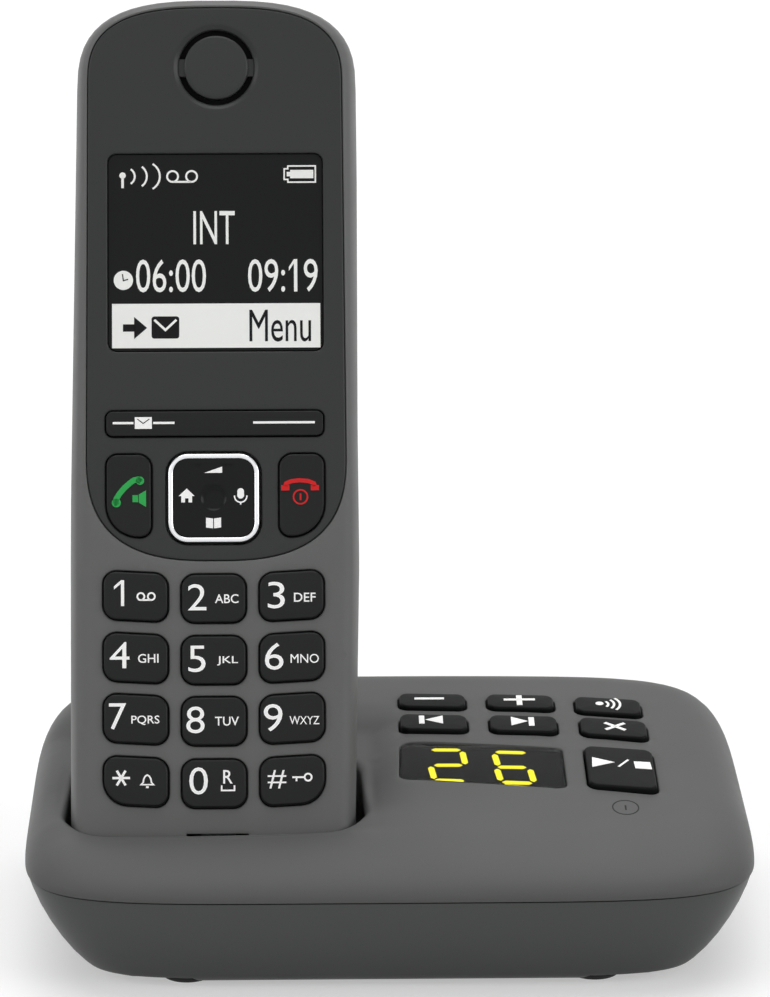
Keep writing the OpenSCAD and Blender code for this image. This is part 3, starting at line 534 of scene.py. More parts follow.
def circle(x, y, r, count=28):
    turn = np.linspace(0, 2 * math.pi, count, endpoint=False)
    return np.column_stack([x + r * np.cos(turn), y + r * np.sin(turn)])


class Openings:
    """Holes, the rings that round off their edges, and how far each loop lies below the surface."""

    def __init__(self):
        self.holes, self.rings, self.hole_drops, self.ring_drops = [], [], [], []

    def cut(self, make, gaps):
        """make(gap) is the hole's outline grown by a gap. The last gap is the radius of its edge."""
        loops, drops = [make(d) for d in gaps], [float(fall(d, gaps[-1])) for d in gaps]
        self.add(loops[:1], drops[:1], loops[1:], drops[1:])

    def add(self, holes, hole_drops, rings, ring_drops):
        self.holes += holes
        self.hole_drops += hole_drops
        self.rings += rings
        self.ring_drops += ring_drops

    def plain(self, holes, rings):
        """Adds holes and rings that lie on the surface itself."""
        self.add(holes, [0.0] * len(holes), rings, [0.0] * len(rings))


print("plan helpers ready")

# %% [markdown]
# ## A housing from its surface
# A moulded housing is a curved skin with a second skin one wall thickness inside. Near its rim the skin is
# almost upright, where a plan triangulation would be squeezed, so that part is made of regular rings. Inside
# them comes the plan mesh, lifted to the surface. All edges that are left open, at the rim and round the
# holes, are closed between the two skins, so each housing is a watertight solid.

# %% Housing helper
def housing(rows, height, inner, inner_rim, cut, step, gap, skip=(), rows_in=None, windows=()):
    """rows: stacked rings (n, 3) from the rim inwards, the last one bounds the plan mesh.
    windows: (row, row, column, column) of openings in the rings, the same in rows and rows_in.
    Returns the sheet and, for each hole in skip, its outer and inner rows of point numbers."""
    edge = rows[-1][:, :2]
    (x0, y0), (x1, y1) = edge.min(0) - 1, edge.max(0) + 1
    spots, triangles, source = plan_mesh(edge, cut.holes, cut.rings, grid(x0, x1, y0, y1, step), gap)
    drop = drops_at(source, [edge, *cut.holes, *cut.rings], [0.0, *cut.hole_drops, *cut.ring_drops])
    lifted = height(spots)
    under = inner(spots, lifted)
    sheet, count = Sheet(), len(spots)
    sheet.add(at(spots, lifted - drop))
    sheet.add(under)
    rim, *hole_ids = loop_ids(source, [edge, *cut.holes])
    above = [sheet.add(row) for row in rows[:-1]] + [rim]
    if rows_in is None:
        level, target = np.array([1, 1, 0]), under[rim]
        rows_in = [inner_rim + (target - inner_rim) * (level * f + (1 - level) * (1 - (1 - f) ** 2.2))
                   for f in (0, 0.35, 0.7)]
    below = [sheet.add(row) for row in rows_in] + [[i + count for i in rim]]
    for side in (above, below):
        for k, (a, b) in enumerate(zip(side, side[1:])):
            left_out = [range(c0, c1) for r0, r1, c0, c1 in windows if r0 <= k < r1]
            sheet.faces += [q for i, q in enumerate(strip(a, b)) if not any(i in r for r in left_out)]
    for r0, r1, c0, c1 in windows:
        path = [(r0, c) for c in range(c0, c1)] + [(r, c1) for r in range(r0, r1)]
        path += [(r1, c) for c in range(c1, c0, -1)] + [(r, c0) for r in range(r1, r0, -1)]
        sheet.join([above[r][c] for r, c in path], [below[r][c] for r, c in path])
    sheet.join(above[0], below[0])
    sheet.faces += triangles.tolist() + (triangles + count).tolist()
    ends = []
    for k, ids in enumerate(hole_ids):
        pair = ids, [i + count for i in ids]
        if k in skip:
            ends.append(pair)
        else:
            sheet.join(*pair)
    return sheet, ends


def quarter(t, m):
    return (1 - (1 - np.asarray(t, float)) ** m) ** (1 / m)


def spow(v, p):
    return np.sign(v) * np.abs(v) ** p


def ring_level(outside, spots):
    """For each point, which ring of the shoulder it lies on: 0 at the rim, 1 where the shoulder ends."""
    low, high = np.zeros(len(spots)), np.ones(len(spots))
    for _ in range(36):
        mid = (low + high) / 2
        out = outside(spots, mid)
        high, low = np.where(out, mid, high), np.where(out, low, mid)
    return high


def rounded(w, l, corners, grow=0.0, slope=0.0, steps=9):
    """Rounded box outline: four corner radii from +x+y on, its row sloping."""
    made = []
    for q, r in enumerate(corners):
        sx, sy = (1 if q in (0, 3) else -1), (1 if q < 2 else -1)
        wide = max(w / 2 + grow, w + 2 * grow - max(corners[q ^ 1] + grow, 0.03)) - 0.04
        tall = max(l / 2 + grow, l + 2 * grow - max(corners[3 - q] + grow, 0.03)) - 0.04
        rr = max(min(r + grow, wide, tall), 0.03)
        for i in range(steps):
            a = math.radians(q * 90 + 90 * i / (steps - 1))
            x = sx * (w / 2 + grow - rr) + rr * math.cos(a)
            y = sy * (l / 2 + grow - rr) + rr * math.sin(a)
            made.append((x, y + slope * x))
    return np.array(made)


print("housing helpers ready")

# %% [markdown]
# ## The base's top surface
# The top of the base is a gently crowned deck that rises to the back, with a wide soft shoulder down to the
# seam, and a shallow dish round the cradle so the handset seems to grow out of it. It is the height formula
# that shaped the CAD solid, so keys and window sit in it closely, but sampled far more finely, and with a
# lip that stands higher round the handset's front corners.

# %% Deck formula
TILT = math.atan(6.4 / 56)
HALF_X, HALF_Y, SEAM_Z, KEY_PLANE = 65, 44, 18.6, 30.7
CRADLE_X = -30.5
SHOULDER_X, SHOULDER_FRONT, SHOULDER_BACK = 9, 15, 10.6


def crown(x, y):
    return 0.53 * (x / 50) ** 2 + 0.6 * (y / 30) ** 2


def dish(x, y):
    dx = np.maximum(np.abs(x - CRADLE_X) - 27.7, 0)
    dy = np.maximum(np.maximum(-27.5 - y, y - 14), 0)
    return 2.4 * np.maximum(0, 1 - np.hypot(dx, dy) / 8.5) ** 2


def lip_lift(x, y):
    """The dish fades out towards the front, where the lip stands up round the handset's corners."""
    front = np.clip((-8 - y) / 15, 0, 1) ** 1.5
    corner = np.clip(np.abs(x - CRADLE_X) / 27, 0, 1) ** 2
    return 1 - front * (0.14 + 0.6 * corner)


def deck(x, y):
    return 27.5 + 6.4 * (y + 28) / 56 - crown(x, y) - dish(x, y) * lip_lift(x, y)


def top_outside(p, t):
    b = HALF_Y - np.where(p[:, 1] < 0, SHOULDER_FRONT, SHOULDER_BACK) * t
    n = 5.8 + t
    return (np.abs(p[:, 0]) / (HALF_X - SHOULDER_X * t)) ** n + (np.abs(p[:, 1]) / b) ** n > 1


def top_height(p):
    t = ring_level(top_outside, p)
    return SEAM_Z + (deck(p[:, 0], p[:, 1]) - SEAM_Z) * quarter(t, 2.1)


def around(count):
    u = (np.arange(count) + 0.5) * 2 * np.pi / count
    return np.arctan2(HALF_Y * spow(np.sin(u), 0.6), HALF_X * spow(np.cos(u), 0.6))


def oval(a, bf, br, n, ang):
    c, s = np.cos(ang), np.sin(ang)
    b = np.where(s < 0, bf, br)
    r = ((np.abs(c) / a) ** n + (np.abs(s) / b) ** n) ** (-1 / n)
    return np.column_stack([r * c, r * s])


def top_row(t, wall=0.0, count=220):
    a, b = HALF_X - wall, HALF_Y - wall
    p = oval(a - SHOULDER_X * t, b - SHOULDER_FRONT * t, b - SHOULDER_BACK * t, 5.8 + t, around(count))
    return at(p, SEAM_Z + (deck(p[:, 0], p[:, 1]) - wall - SEAM_Z) * quarter(t, 2.1))


def deck_spot(local):
    """World plan place of a point of the deck that is given in the tilted frame of the keys."""
    x, y = local[:, 0], local[:, 1]
    z = np.zeros(len(x))
    for _ in range(8):
        wy = y * math.cos(TILT) - z * math.sin(TILT)
        z = (deck(x, wy) - KEY_PLANE - y * math.sin(TILT)) / math.cos(TILT)
    return np.column_stack([x, wy])


def surface_level(local):
    """Height of the deck's surface above the keys' plane, for points given in that plane."""
    spot = deck_spot(local)
    return (deck(spot[:, 0], spot[:, 1]) - KEY_PLANE) * math.cos(TILT) - spot[:, 1] * math.sin(TILT)


print("deck height at the middle:", round(float(deck(0, 0)), 2), "mm")

# %% [markdown]
# ## The openings of the deck
# Seven keys, the display window and the cradle's mouth break the surface. Every key and window opening gets
# three rings that fall away into a small rounded edge. The mouth of the cradle is where the leaning pocket
# meets the deck. Its lip is softly rolled over, so the deck stops a little before it and a curved strip
# leads down into the pocket.

# %% Openings
DECK_KEYS = {
    "volume_down_key": (8.7, 21.8, -0.05, 12.6, 6.2), "volume_up_key": (25.1, 21.3, -0.07, 12.6, 6.3),
    "paging_key": (41.3, 19.6, -0.15, 12.4, 7.0), "previous_key": (8.7, 11.9, -0.06, 12.6, 6.9),
    "next_key": (25.2, 11.3, -0.07, 12.6, 7.1), "delete_key": (41.7, 9.7, -0.18, 12.4, 7.6),
    "play_stop_key": (41.9, -7.0, -0.18, 12.5, 16.48),
}
WINDOW = np.array([[31.7, 2.2], [2.4, 4.8], [2.05, -10], [31.8, -14.1]])


def window_outline(grow, steps=8):
    made = []
    for q in range(4):
        a, b, c = WINDOW[q - 1], WINDOW[q], WINDOW[(q + 1) % 4]
        r = 2.6 if q == 2 else 1.6
        u, v = (a - b) / np.linalg.norm(a - b), (c - b) / np.linalg.norm(c - b)
        half = math.acos(float(u @ v)) / 2
        m = (u + v) / np.linalg.norm(u + v)
        centre = b + m * r / math.sin(half)
        s0 = b + u * r / math.tan(half) - centre
        s1 = b + v * r / math.tan(half) - centre
        a0, a1 = math.atan2(s0[1], s0[0]), math.atan2(s1[1], s1[0])
        a1 = a1 + 2 * math.pi if a1 < a0 else a1
        for i in range(steps):
            w = a0 + (a1 - a0) * i / (steps - 1)
            made.append(centre + (r + grow) * np.array([math.cos(w), math.sin(w)]))
    return np.array(made)


top_cut = Openings()
for x, y, slope, w, l in DECK_KEYS.values():
    top_cut.cut(lambda d: deck_spot(rounded(w, l, (1.8,) * 4, 0.12 + d, slope) + (x, y)),
                (0.0, 0.05, 0.14, 0.3))
top_cut.cut(lambda d: deck_spot(window_outline(0.15 + d)), (0.0, 0.06, 0.18, 0.4))
print("key and window openings:", len(top_cut.holes))

# %% Cradle mouth
LEAN = math.radians(20)
POCKET = np.array([(0.0, 17.4, -0.7, 22.7, 6), (0.1, 17.6, -0.7, 23, 6), (3, 22.8, -0.8, 26.6, 6),
                   (6, 26.1, -0.9, 27.9, 7), (9.5, 27.3, -0.9, 28.4, 7.5), (14, 27.7, -0.9, 28.9, 8),
                   (36, 27.9, -1, 29.4, 8)])


def pocket_row(z, grow=0.0, steps=15):
    """Ring of the pocket at the heights z, one for each point, in the handset's own frame."""
    n = 4 * steps
    z = np.broadcast_to(np.asarray(z, float), (n,))
    hw, yf, yb, r = [np.interp(z, POCKET[:, 0], POCKET[:, k]) for k in (1, 2, 3, 4)]
    hw, yf, yb, r = hw + grow, yf - grow, yb + grow, r + grow
    q = np.repeat(np.arange(4), steps)
    a = np.radians(q * 90 + np.tile(np.linspace(0, 90, steps), 4))
    sx, sy = np.where((q == 0) | (q == 3), 1, -1), np.where(q < 2, 1, -1)
    x = sx * (hw - r) + r * np.cos(a)
    y = (yf + yb) / 2 + sy * ((yb - yf) / 2 - r) + r * np.sin(a)
    high, back = np.clip((z - 8) / 8, 0, 1), np.clip((y - 2) / 12, 0, 1)
    hug = np.where(x > 0, 0.047 + 0.035 * back, 0.007 + 0.033 * back)
    return np.column_stack([x * (1 - high * hug), y, z])


HANDSET_FOOT = (CRADLE_X, -30.23, 14.19)


def handset_world(p):
    """From the handset's frame (across, depth, up its length) to the world, in mm."""
    p = np.asarray(p, float)
    c, s = math.cos(LEAN), math.sin(LEAN)
    return np.column_stack([p[:, 0], p[:, 1] * c + p[:, 2] * s, p[:, 2] * c - p[:, 1] * s]) + HANDSET_FOOT


def fill_sides(row):
    """Adds points along the straight runs between the corners, so that no quad is long."""
    made = []
    for i in range(len(row)):
        a, b = row[i], row[(i + 1) % len(row)]
        made.append(a)
        if (i + 1) % 15 == 0:
            made += [a + (b - a) * f for f in np.linspace(0, 1, 14)[1:-1]]
    return np.array(made)


low, high = np.full(60, 2.0), np.full(60, 36.0)
for _ in range(40):
    middle = (low + high) / 2
    p = handset_world(pocket_row(middle))
    above = p[:, 2] > deck(p[:, 0], p[:, 1])
    high, low = np.where(above, middle, high), np.where(above, low, middle)
LIP = 1.5
crossing = fill_sides(np.column_stack([handset_world(pocket_row(high)), high]))
mouth, mouth_z = crossing[:, :3], crossing[:, 3]
ahead = np.roll(mouth[:, :2], -1, axis=0) - np.roll(mouth[:, :2], 1, axis=0)
out = np.column_stack([ahead[:, 1], -ahead[:, 0]]) / np.hypot(ahead[:, 0], ahead[:, 1])[:, None]
lip_out = mouth[:, :2] + out * LIP
top_cut.plain([lip_out], [mouth[:, :2] + out * (LIP + d) for d in (0.5, 1.1)])
print("mouth points:", len(mouth), "front lip height", round(float(mouth[:, 2].min()), 2))

# %% Base top shell
WALL, POCKET_WALL = 2.2, 1.6
LEVELS = (0, 0.003, 0.012, 0.03, 0.06, 0.1, 0.15, 0.21, 0.28, 0.36)
shift = np.array([0, WALL * math.sin(TILT), -WALL * math.cos(TILT)])
sheet, ends = housing([top_row(t) for t in LEVELS], top_height, lambda p, h: at(p, h) + shift,
                      top_row(0, WALL), top_cut, 1.5, 0.75, skip=(len(top_cut.holes) - 1,))
rim, rim_in = ends[0]
wall_z = mouth_z - LIP
lip_top = sheet.all()[rim]
lip_foot = mouth + np.array([0, -math.sin(LEAN), -math.cos(LEAN)]) * LIP


def pocket_level(z, grow):
    """Ring of the pocket with a point for each point of the mouth; z may differ from point to point."""
    if np.ndim(z) == 0:
        return handset_world(fill_sides(pocket_row(z, grow)))
    return handset_world(np.array([fill_sides(pocket_row(h, grow))[k] for k, h in enumerate(z)]))


inner_wall = [rim]
for u in (0.12, 0.25, 0.38, 0.5, 0.62, 0.75, 0.88, 1.0):
    inner_wall.append(sheet.add((1 - u) ** 2 * lip_top + 2 * u * (1 - u) * mouth + u * u * lip_foot))
for f in (0.82, 0.64, 0.48, 0.34, 0.22, 0.12, 0.05):
    inner_wall.append(sheet.add(pocket_level(0.1 + (wall_z - 0.1) * f, 0)))
inner_wall.append(sheet.add(pocket_level(0.0, 0)))
outer_wall = [rim_in]
for f in (0.8, 0.5, 0.25, 0.08):
    outer_wall.append(sheet.add(pocket_level(0.1 + (wall_z - 2.5) * f, POCKET_WALL)))
outer_wall.append(sheet.add(handset_world(fill_sides(pocket_row(0.0, POCKET_WALL)) + (0, 0, -WALL))))
sheet.join(*inner_wall)
sheet.join(*outer_wall)
pin_holes = [circle(side * 5, 8, 1.6, 24) for side in (-1, 1)]
pin_rows = []
for grow, z in ((0, 0.0), (POCKET_WALL, -WALL)):
    loop = fill_sides(pocket_row(0.0, grow))[:, :2]
    spots, triangles, source = plan_mesh(loop, pin_holes, [], grid(-20, 20, -3, 26, 2.5), 1.2)
    ids = sheet.add(handset_world(at(spots, z)))
    sheet.faces += (triangles + ids[0]).tolist()
    pin_rows.append([[ids[i] for i in row] for row in loop_ids(source, [loop, *pin_holes])[1:]])
for a, b in zip(*pin_rows):
    sheet.join(a, b)
piece = solid("base_top", sheet.all(), sheet.faces, top_plastic, "base")
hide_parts("base_top_shell")
print("base top faces:", len(piece.data.polygons))

# %% [markdown]
# ## The base's lower shell
# Below the seam the base narrows like a bowl to a flat bottom plate. It carries slots for the loudspeaker,
# four screw wells, round recesses for the rubber feet and two openings for the sockets at the back. The
# steep side is made of rings. Two of them run exactly along the top and bottom of the socket openings, and
# four upright lines of points run along their sides, so these openings are just faces left out.

# %% Lower shell outline
BOWL_X, BOWL_Y, BOWL_TOP, BOWL_FLOOR, FLOOR_X, FLOOR_Y = 64.7, 43.7, 18.35, 1.2, 53.8, 36.3
SOCKETS, SOCKET_SIDES = (16.15, 4.85), (-5.85, -20.15, -26.85, -41.15)


def bowl_shape(t):
    a = np.radians(90 * np.asarray(t, float))
    return 1 - np.cos(a) ** 1.54, np.sin(a) ** 1.54


def bowl_row(t, base, wall=0.0):
    f, g = bowl_shape(t)
    tuck = 0.45 * max(0.0, 1 - t / 0.02)
    a, b, n = BOWL_X - wall, BOWL_Y - wall, 5.8 + 1.2 * f
    a, b = a + (FLOOR_X - wall - a) * f - tuck, b + (FLOOR_Y - wall - b) * f - tuck
    p = oval(a, b, b, n, np.arctan2(base[:, 1], base[:, 0]))
    free = np.clip(np.maximum((-42 - base[:, 0]) / 16, (base[:, 0] + 5) / 5), 0, 1)
    rear = (base[:, 1] > 30) & (free < 1)
    x = base[:, 0] * (1 - free) + p[:, 0] * free
    p[rear] = np.column_stack([x, b * (1 - np.clip(np.abs(x) / a, 0, 1) ** n) ** (1 / n)])[rear]
    return at(p, BOWL_TOP - (BOWL_TOP - BOWL_FLOOR - wall) * g)


def level_at(z, wall=0.0):
    """Ring number at which the bowl has this height."""
    return math.degrees(math.asin(((BOWL_TOP - z) / (BOWL_TOP - BOWL_FLOOR - wall)) ** (1 / 1.54))) / 90


start_ring = oval(BOWL_X, BOWL_Y, BOWL_Y, 5.8, around(220))
keep = ~((start_ring[:, 1] > 30) & (start_ring[:, 0] > -46) & (start_ring[:, 0] < -1))
first = int(np.argmax(~keep))
xs = np.concatenate([[-1.6, -3.7], np.linspace(-5.85, -20.15, 9), [-22, -24.2, -26.0],
                     np.linspace(-26.85, -41.15, 9), [-43, -45]])
back_edge = np.column_stack([xs, BOWL_Y * (1 - (np.abs(xs) / BOWL_X) ** 5.8) ** (1 / 5.8)])
start_ring = np.concatenate([start_ring[:first], back_edge, start_ring[first:][keep[first:]]])
socket_levels = [level_at(z) for z in SOCKETS]
levels = sorted([0, 0.006, 0.013, 0.02, 0.035, 0.06, 0.1, 0.3, 0.42, 0.54, 0.78, 0.84, *socket_levels])
inner_at = {level_at(z): level_at(z, 2.0) for z in SOCKETS}
r0, r1 = [levels.index(t) for t in socket_levels]
column = [int(np.argmin(np.abs(start_ring[:, 0] - x) + (start_ring[:, 1] < 0) * 99)) for x in SOCKET_SIDES]


def bowl_outside(p, t):
    f, _ = bowl_shape(t)
    n, a, b = 5.8 + 1.2 * f, BOWL_X - (BOWL_X - FLOOR_X) * f, BOWL_Y - (BOWL_Y - FLOOR_Y) * f
    return (np.abs(p[:, 0]) / a) ** n + (np.abs(p[:, 1]) / b) ** n > 1


def bowl_height(p):
    return BOWL_TOP - (BOWL_TOP - BOWL_FLOOR) * bowl_shape(ring_level(bowl_outside, p))[1]


print("rings of the lower shell:", len(levels))

# %% Lower shell
slots = []
for i in range(-2, 3):
    h = math.sqrt(196 - 25 * i * i) - 1.1
    top = [(24 + 5 * i + 1.1 * math.cos(a), h + 1.1 * math.sin(a)) for a in np.linspace(0, math.pi, 9)]
    slots.append(np.array(top + [(48 + 10 * i - x, -y) for x, y in top]))
wells = [circle(x, y, 3) for x, y in ((5, -28), (47, -27), (47, 27), (-47, 24))]
feet = [circle(x, y, 5.15, 36) for x in (-36, 36) for y in (-29.5, 29.5)]
rings = [w + (w - w.mean(0)) * 0.08 for w in wells] + [f + (f - f.mean(0)) * 0.05 for f in feet]
lower_cut = Openings()
lower_cut.plain([*slots, *wells, *feet], rings)
sheet, ends = housing(
    [bowl_row(t, start_ring) for t in levels], bowl_height, lambda p, h: at(p, h + 2), None, lower_cut,
    2.6, 1.1, skip=tuple(range(5, 13)),
    rows_in=[bowl_row(inner_at.get(t, t), start_ring, 2.0) for t in levels[:-1]],
    windows=((r0, r1, column[0], column[1]), (r0, r1, column[2], column[3])))
SCREW_WELL = ((1.0, 6.5), (0.55, 6.5), (0.55, 14.4), (1.27, 14.4), (1.27, 3.2))
FOOT_RECESS = ((1.0, 2.0),)
points = sheet.all()
for k, (outer, inner) in enumerate(ends):
    ring = points[outer][:, :2]
    centre = ring.mean(0)
    rows = [outer]
    for scale, z in SCREW_WELL if k < len(wells) else FOOT_RECESS:
        rows.append(sheet.add(at(centre + (ring - centre) * scale, z)))
    sheet.join(*rows)
    if k < len(wells):
        sheet.join(rows[-1], inner)
    else:
        sheet.close(rows[-1], inner)
piece = solid("base_lower", sheet.all(), sheet.faces, bottom_plastic_painted_shade, "base")
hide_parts("base_bottom_shell")
print("lower shell faces:", len(piece.data.polygons))

# %% [markdown]
# ## The handset's shells
# Seen from the front, the handset is a slightly tapered bar with very round ends. The front shell turns over
# from the side to the face in a few millimetres; the back is fuller. Both use the housing helper, in the
# handset's own frame: across, up its length, and away from the seam between the shells. The matrix leans them
# back by twenty degrees into the cradle.

# %% Handset outline
HANDSET = Matrix.Translation(Vector(HANDSET_FOOT) * MM) @ Matrix.Rotation(-LEAN, 4, "X")
FACE = HANDSET @ Matrix(((1, 0, 0, 0), (0, 0, -1, 0), (0, 1, 0, 0), (0, 0, 0, 1)))
BACK = HANDSET @ Matrix(((1, 0, 0, 0), (0, 0, 1, 0), (0, 1, 0, 0), (0, 0, 0, 1)))
SIDE, UPPER, LOWER, UPPER_Z, LOWER_Z = 25.4, 16, 12, 144.9, 12
FRONT_SEAM, BACK_SEAM = -9.5, 9.6


def handset_outline(ex, ez, arc=28, run=44):
    """Outline inset by ex at the sides and ez at the ends: two round ends and two long sides."""
    a, ht, hb = SIDE - ex, UPPER - ez, LOWER - ez
    u = np.linspace(0, math.pi, arc)
    upper = np.column_stack([a * spow(np.cos(u), 2 / 2.9), UPPER_Z + ht * np.abs(np.sin(u)) ** (2 / 2.9)])
    lower = np.column_stack([-a * spow(np.cos(u), 2 / 3), LOWER_Z - hb * np.abs(np.sin(u)) ** (2 / 3)])
    z = np.linspace(UPPER_Z, LOWER_Z, run)[1:-1]
    ring = np.concatenate([upper, np.column_stack([np.full(len(z), -a), z]), lower,
                           np.column_stack([np.full(len(z), a), z[::-1]])])
    ring[:, 0] *= side_scale(ring[:, 0], ring[:, 1])
    return ring


def side_scale(x, z):
    """The taper towards the top, with the left side a little fuller than the right."""
    left = 0.033 * np.clip((152 - z) / 80, 0, 1)
    right = 0.036 * np.clip((60 - z) / 45, 0, 1) - 0.016 * np.clip((z - 85) / 45, 0, 1)
    return (1 - 0.02 * np.maximum(0, z - 60) / 80) * np.where(x < 0, 1 + left, 1 - right)


def handset_outside(ex, ez):
    def test(p, t):
        x = np.abs(p[:, 0]) / side_scale(p[:, 0], p[:, 1]) / (SIDE - ex * t)
        up = np.maximum(0, p[:, 1] - UPPER_Z) / (UPPER - ez * t)
        low = np.maximum(0, LOWER_Z - p[:, 1]) / (LOWER - ez * t)
        return np.where(low > 0, x ** 3 + low ** 3, x ** 2.9 + up ** 2.9) > 1
    return test


def front_row(t, wall=0.0):
    p = handset_outline(wall + 3 * t, wall + 1.8 * t)
    top = 2.8 if wall else 0.0
    return at(p, FRONT_SEAM - (FRONT_SEAM + top) * quarter(t, 2.3))


def front_height(p):
    return FRONT_SEAM - FRONT_SEAM * quarter(ring_level(handset_outside(3, 1.8), p), 2.3)


def plate_outline(grow, count=96):
    u = (np.arange(count) + 0.5) * 2 * math.pi / count
    up = u < math.pi
    n = np.where(up, 2.9, 2.75)
    x = spow(np.cos(u), 2 / n) * (np.where(up, 22.6, 23.0) + grow)
    z = np.abs(np.sin(u)) ** (2 / n)
    ring = np.column_stack([x, np.where(up, 144.7 + (14 + grow) * z, 79 - (19.2 + grow) * z)])
    return spaced(ring, 1.3)


def spaced(ring, step):
    """Adds points so that no gap is longer than step."""
    made = []
    for i in range(len(ring)):
        a, b = ring[i], ring[(i + 1) % len(ring)]
        n = max(1, int(math.ceil(np.linalg.norm(b - a) / step)))
        made += [a + (b - a) * k / n for k in range(n)]
    return np.array(made)


PAD_X, PAD_Z = (-14.35, -0.55, 13.25), (53.5, 42.6, 31.8, 20.8)
PAD = {}
for r, names in enumerate((("1", "2", "3"), ("4", "5", "6"), ("7", "8", "9"), ("star", "0", "hash"))):
    for c, name in enumerate(names):
        corners = (2.6, 2.6, 4.4 if (r, c) == (3, 0) else 2.6, 4.4 if (r, c) == (3, 2) else 2.6)
        PAD["key_" + name] = (PAD_X[c], PAD_Z[r] - (0.45 if c == 1 else 0), (c - 1) * 0.055, corners)
print("keypad keys:", len(PAD))

# %% Front shell
TALK, END = (2.6, 2.2, 6, 2.2), (2.2, 2.6, 2.2, 6)
TALK_SPOT, END_SPOT = (-15.5, 71.35), (15.15, 71.35)
NAV_W, NAV_L, NAV_CORNERS, NAV_SPOT = 16.2, 15.8, (3.6,) * 4, (-0.47, 70.9)
BAR_SPOT, SCREEN_SPOT, EAR_SPOT = (-0.25, 84.15), (0, 114.75), (0.25, 148)
POCKET_FLOOR = -1.3
PAD_HOLE, PAD_CAP, CALL_CAP, BAR_CAP = (11.8, 8.95), (11.3, 8.45), (7.9, 14.6), (38.5, 4.4)
front_cut = Openings()
front_cut.cut(lambda d: plate_outline(0.12 + d), (0.0, 0.05, 0.14, 0.3))
for x, z, slope, corners in PAD.values():
    front_cut.cut(lambda d: spaced(rounded(*PAD_HOLE, corners, d, slope), 1.6) + (x, z),
                  (0.0, 0.05, 0.13, 0.26))
front_cut.cut(lambda d: rounded(11, 0.42, (0.17,) * 4, d, steps=6) + (0, 11.3), (0.0, 0.06, 0.15))
SHOULDER = (0, 0.01, 0.03, 0.07, 0.13, 0.2, 0.28, 0.37, 0.47)
sheet, ends = housing(
    [front_row(t) for t in SHOULDER], front_height, lambda p, h: at(p, np.minimum(h - 1.9, -2.8)),
    front_row(0, 2.0), front_cut, 1.6, 0.6, skip=(0,))
outer, inner = ends[0]
plate_edge, level_in = sheet.all()[outer][:, :2], sheet.all()[inner][:, 2].mean()
inner_holes = [spaced(rounded(8.5, 15, TALK, 0.1), 1.6) + TALK_SPOT,
               spaced(rounded(8.5, 15, END, 0.1), 1.6) + END_SPOT,
               rounded(NAV_W, NAV_L, NAV_CORNERS, 0.6) + NAV_SPOT,
               spaced(rounded(39, 5, (1.4,) * 4, 0.05), 2) + BAR_SPOT,
               spaced(rounded(36.4, 33.5, (1.6,) * 4, 0), 2) + SCREEN_SPOT, circle(0.2, 148, 7.3, 40)]
spots, triangles, source = plan_mesh(plate_edge, inner_holes, [], grid(-24, 24, 58, 160, 3.0), 1.2)
top, under = sheet.plates(spots, triangles, POCKET_FLOOR, level_in)
edge_ids, *hole_ids = loop_ids(source, [plate_edge, *inner_holes])
sheet.join(outer, [top[i] for i in edge_ids])
sheet.join(inner, [under[i] for i in edge_ids])
for ids in hole_ids:
    sheet.join([top[i] for i in ids], [under[i] for i in ids])
piece = solid("handset_front", sheet.all(), sheet.faces, housing_plastic, "handset", FACE)
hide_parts("handset_front_shell")
print("front shell faces:", len(piece.data.polygons))

# %% Back shell and battery cover
def back_of(z):
    return 27 - 7 * (np.maximum(0, z - 60) / 101) ** 1.6 - 1.2 * (np.maximum(0, 30 - z) / 30) ** 2


def back_row(t, wall=0.0):
    p = handset_outline(wall + 9 * t, wall + 9 * t)
    return at(p, BACK_SEAM + (back_of(p[:, 1]) - wall - BACK_SEAM) * quarter(t, 2.2))


def back_height(p):
    return BACK_SEAM + (back_of(p[:, 1]) - BACK_SEAM) * quarter(ring_level(handset_outside(9, 9), p), 2.2)


def cover_at(d):
    return spaced(rounded(34, 54, (4,) * 4, d), 2) + (0, 63)


back_cut = Openings()
back_cut.cut(lambda d: cover_at(0.15 + d), (0.0, 0.08, 0.2, 0.45))
for x, z in ((-14, 9.5), (14, 9.5), (-13, 147), (13, 147)):
    back_cut.cut(lambda d: circle(x, z, 1.9 + d), (0.0, 0.1, 0.25))
for i in (-1, 0, 1):
    back_cut.cut(lambda d: rounded(12, 1.4, (0.62,) * 4, d, steps=6) + (0, 134.7 + 4 * i), (0.0, 0.12, 0.3))
sheet, ends = housing(
    [back_row(t) for t in (0, 0.006, 0.02, 0.045, 0.08, 0.13, 0.19, 0.26, 0.34)], back_height,
    lambda p, h: at(p, h - 2.2), back_row(0, 2.0), back_cut, 1.9, 0.7, skip=(0,))
outer, inner = ends[0]
bay, bay_top = sheet.all()[inner][:, :2], sheet.all()[inner][:, 2].min()
wide = bay.mean(0) + (bay - bay.mean(0)) * (1 + 3.0 / 45)
tray, thick, collar = [sheet.add(at(p, z)) for p, z in ((bay, 13.4), (wide, 12.2), (wide, bay_top - 0.6))]
sheet.join(outer, tray)
sheet.close(tray, thick)
sheet.join(thick, collar, inner)
piece = solid("handset_back", sheet.all(), sheet.faces, back_plastic, "handset", BACK)
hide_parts("handset_back_shell")
print("back shell faces:", len(piece.data.polygons))

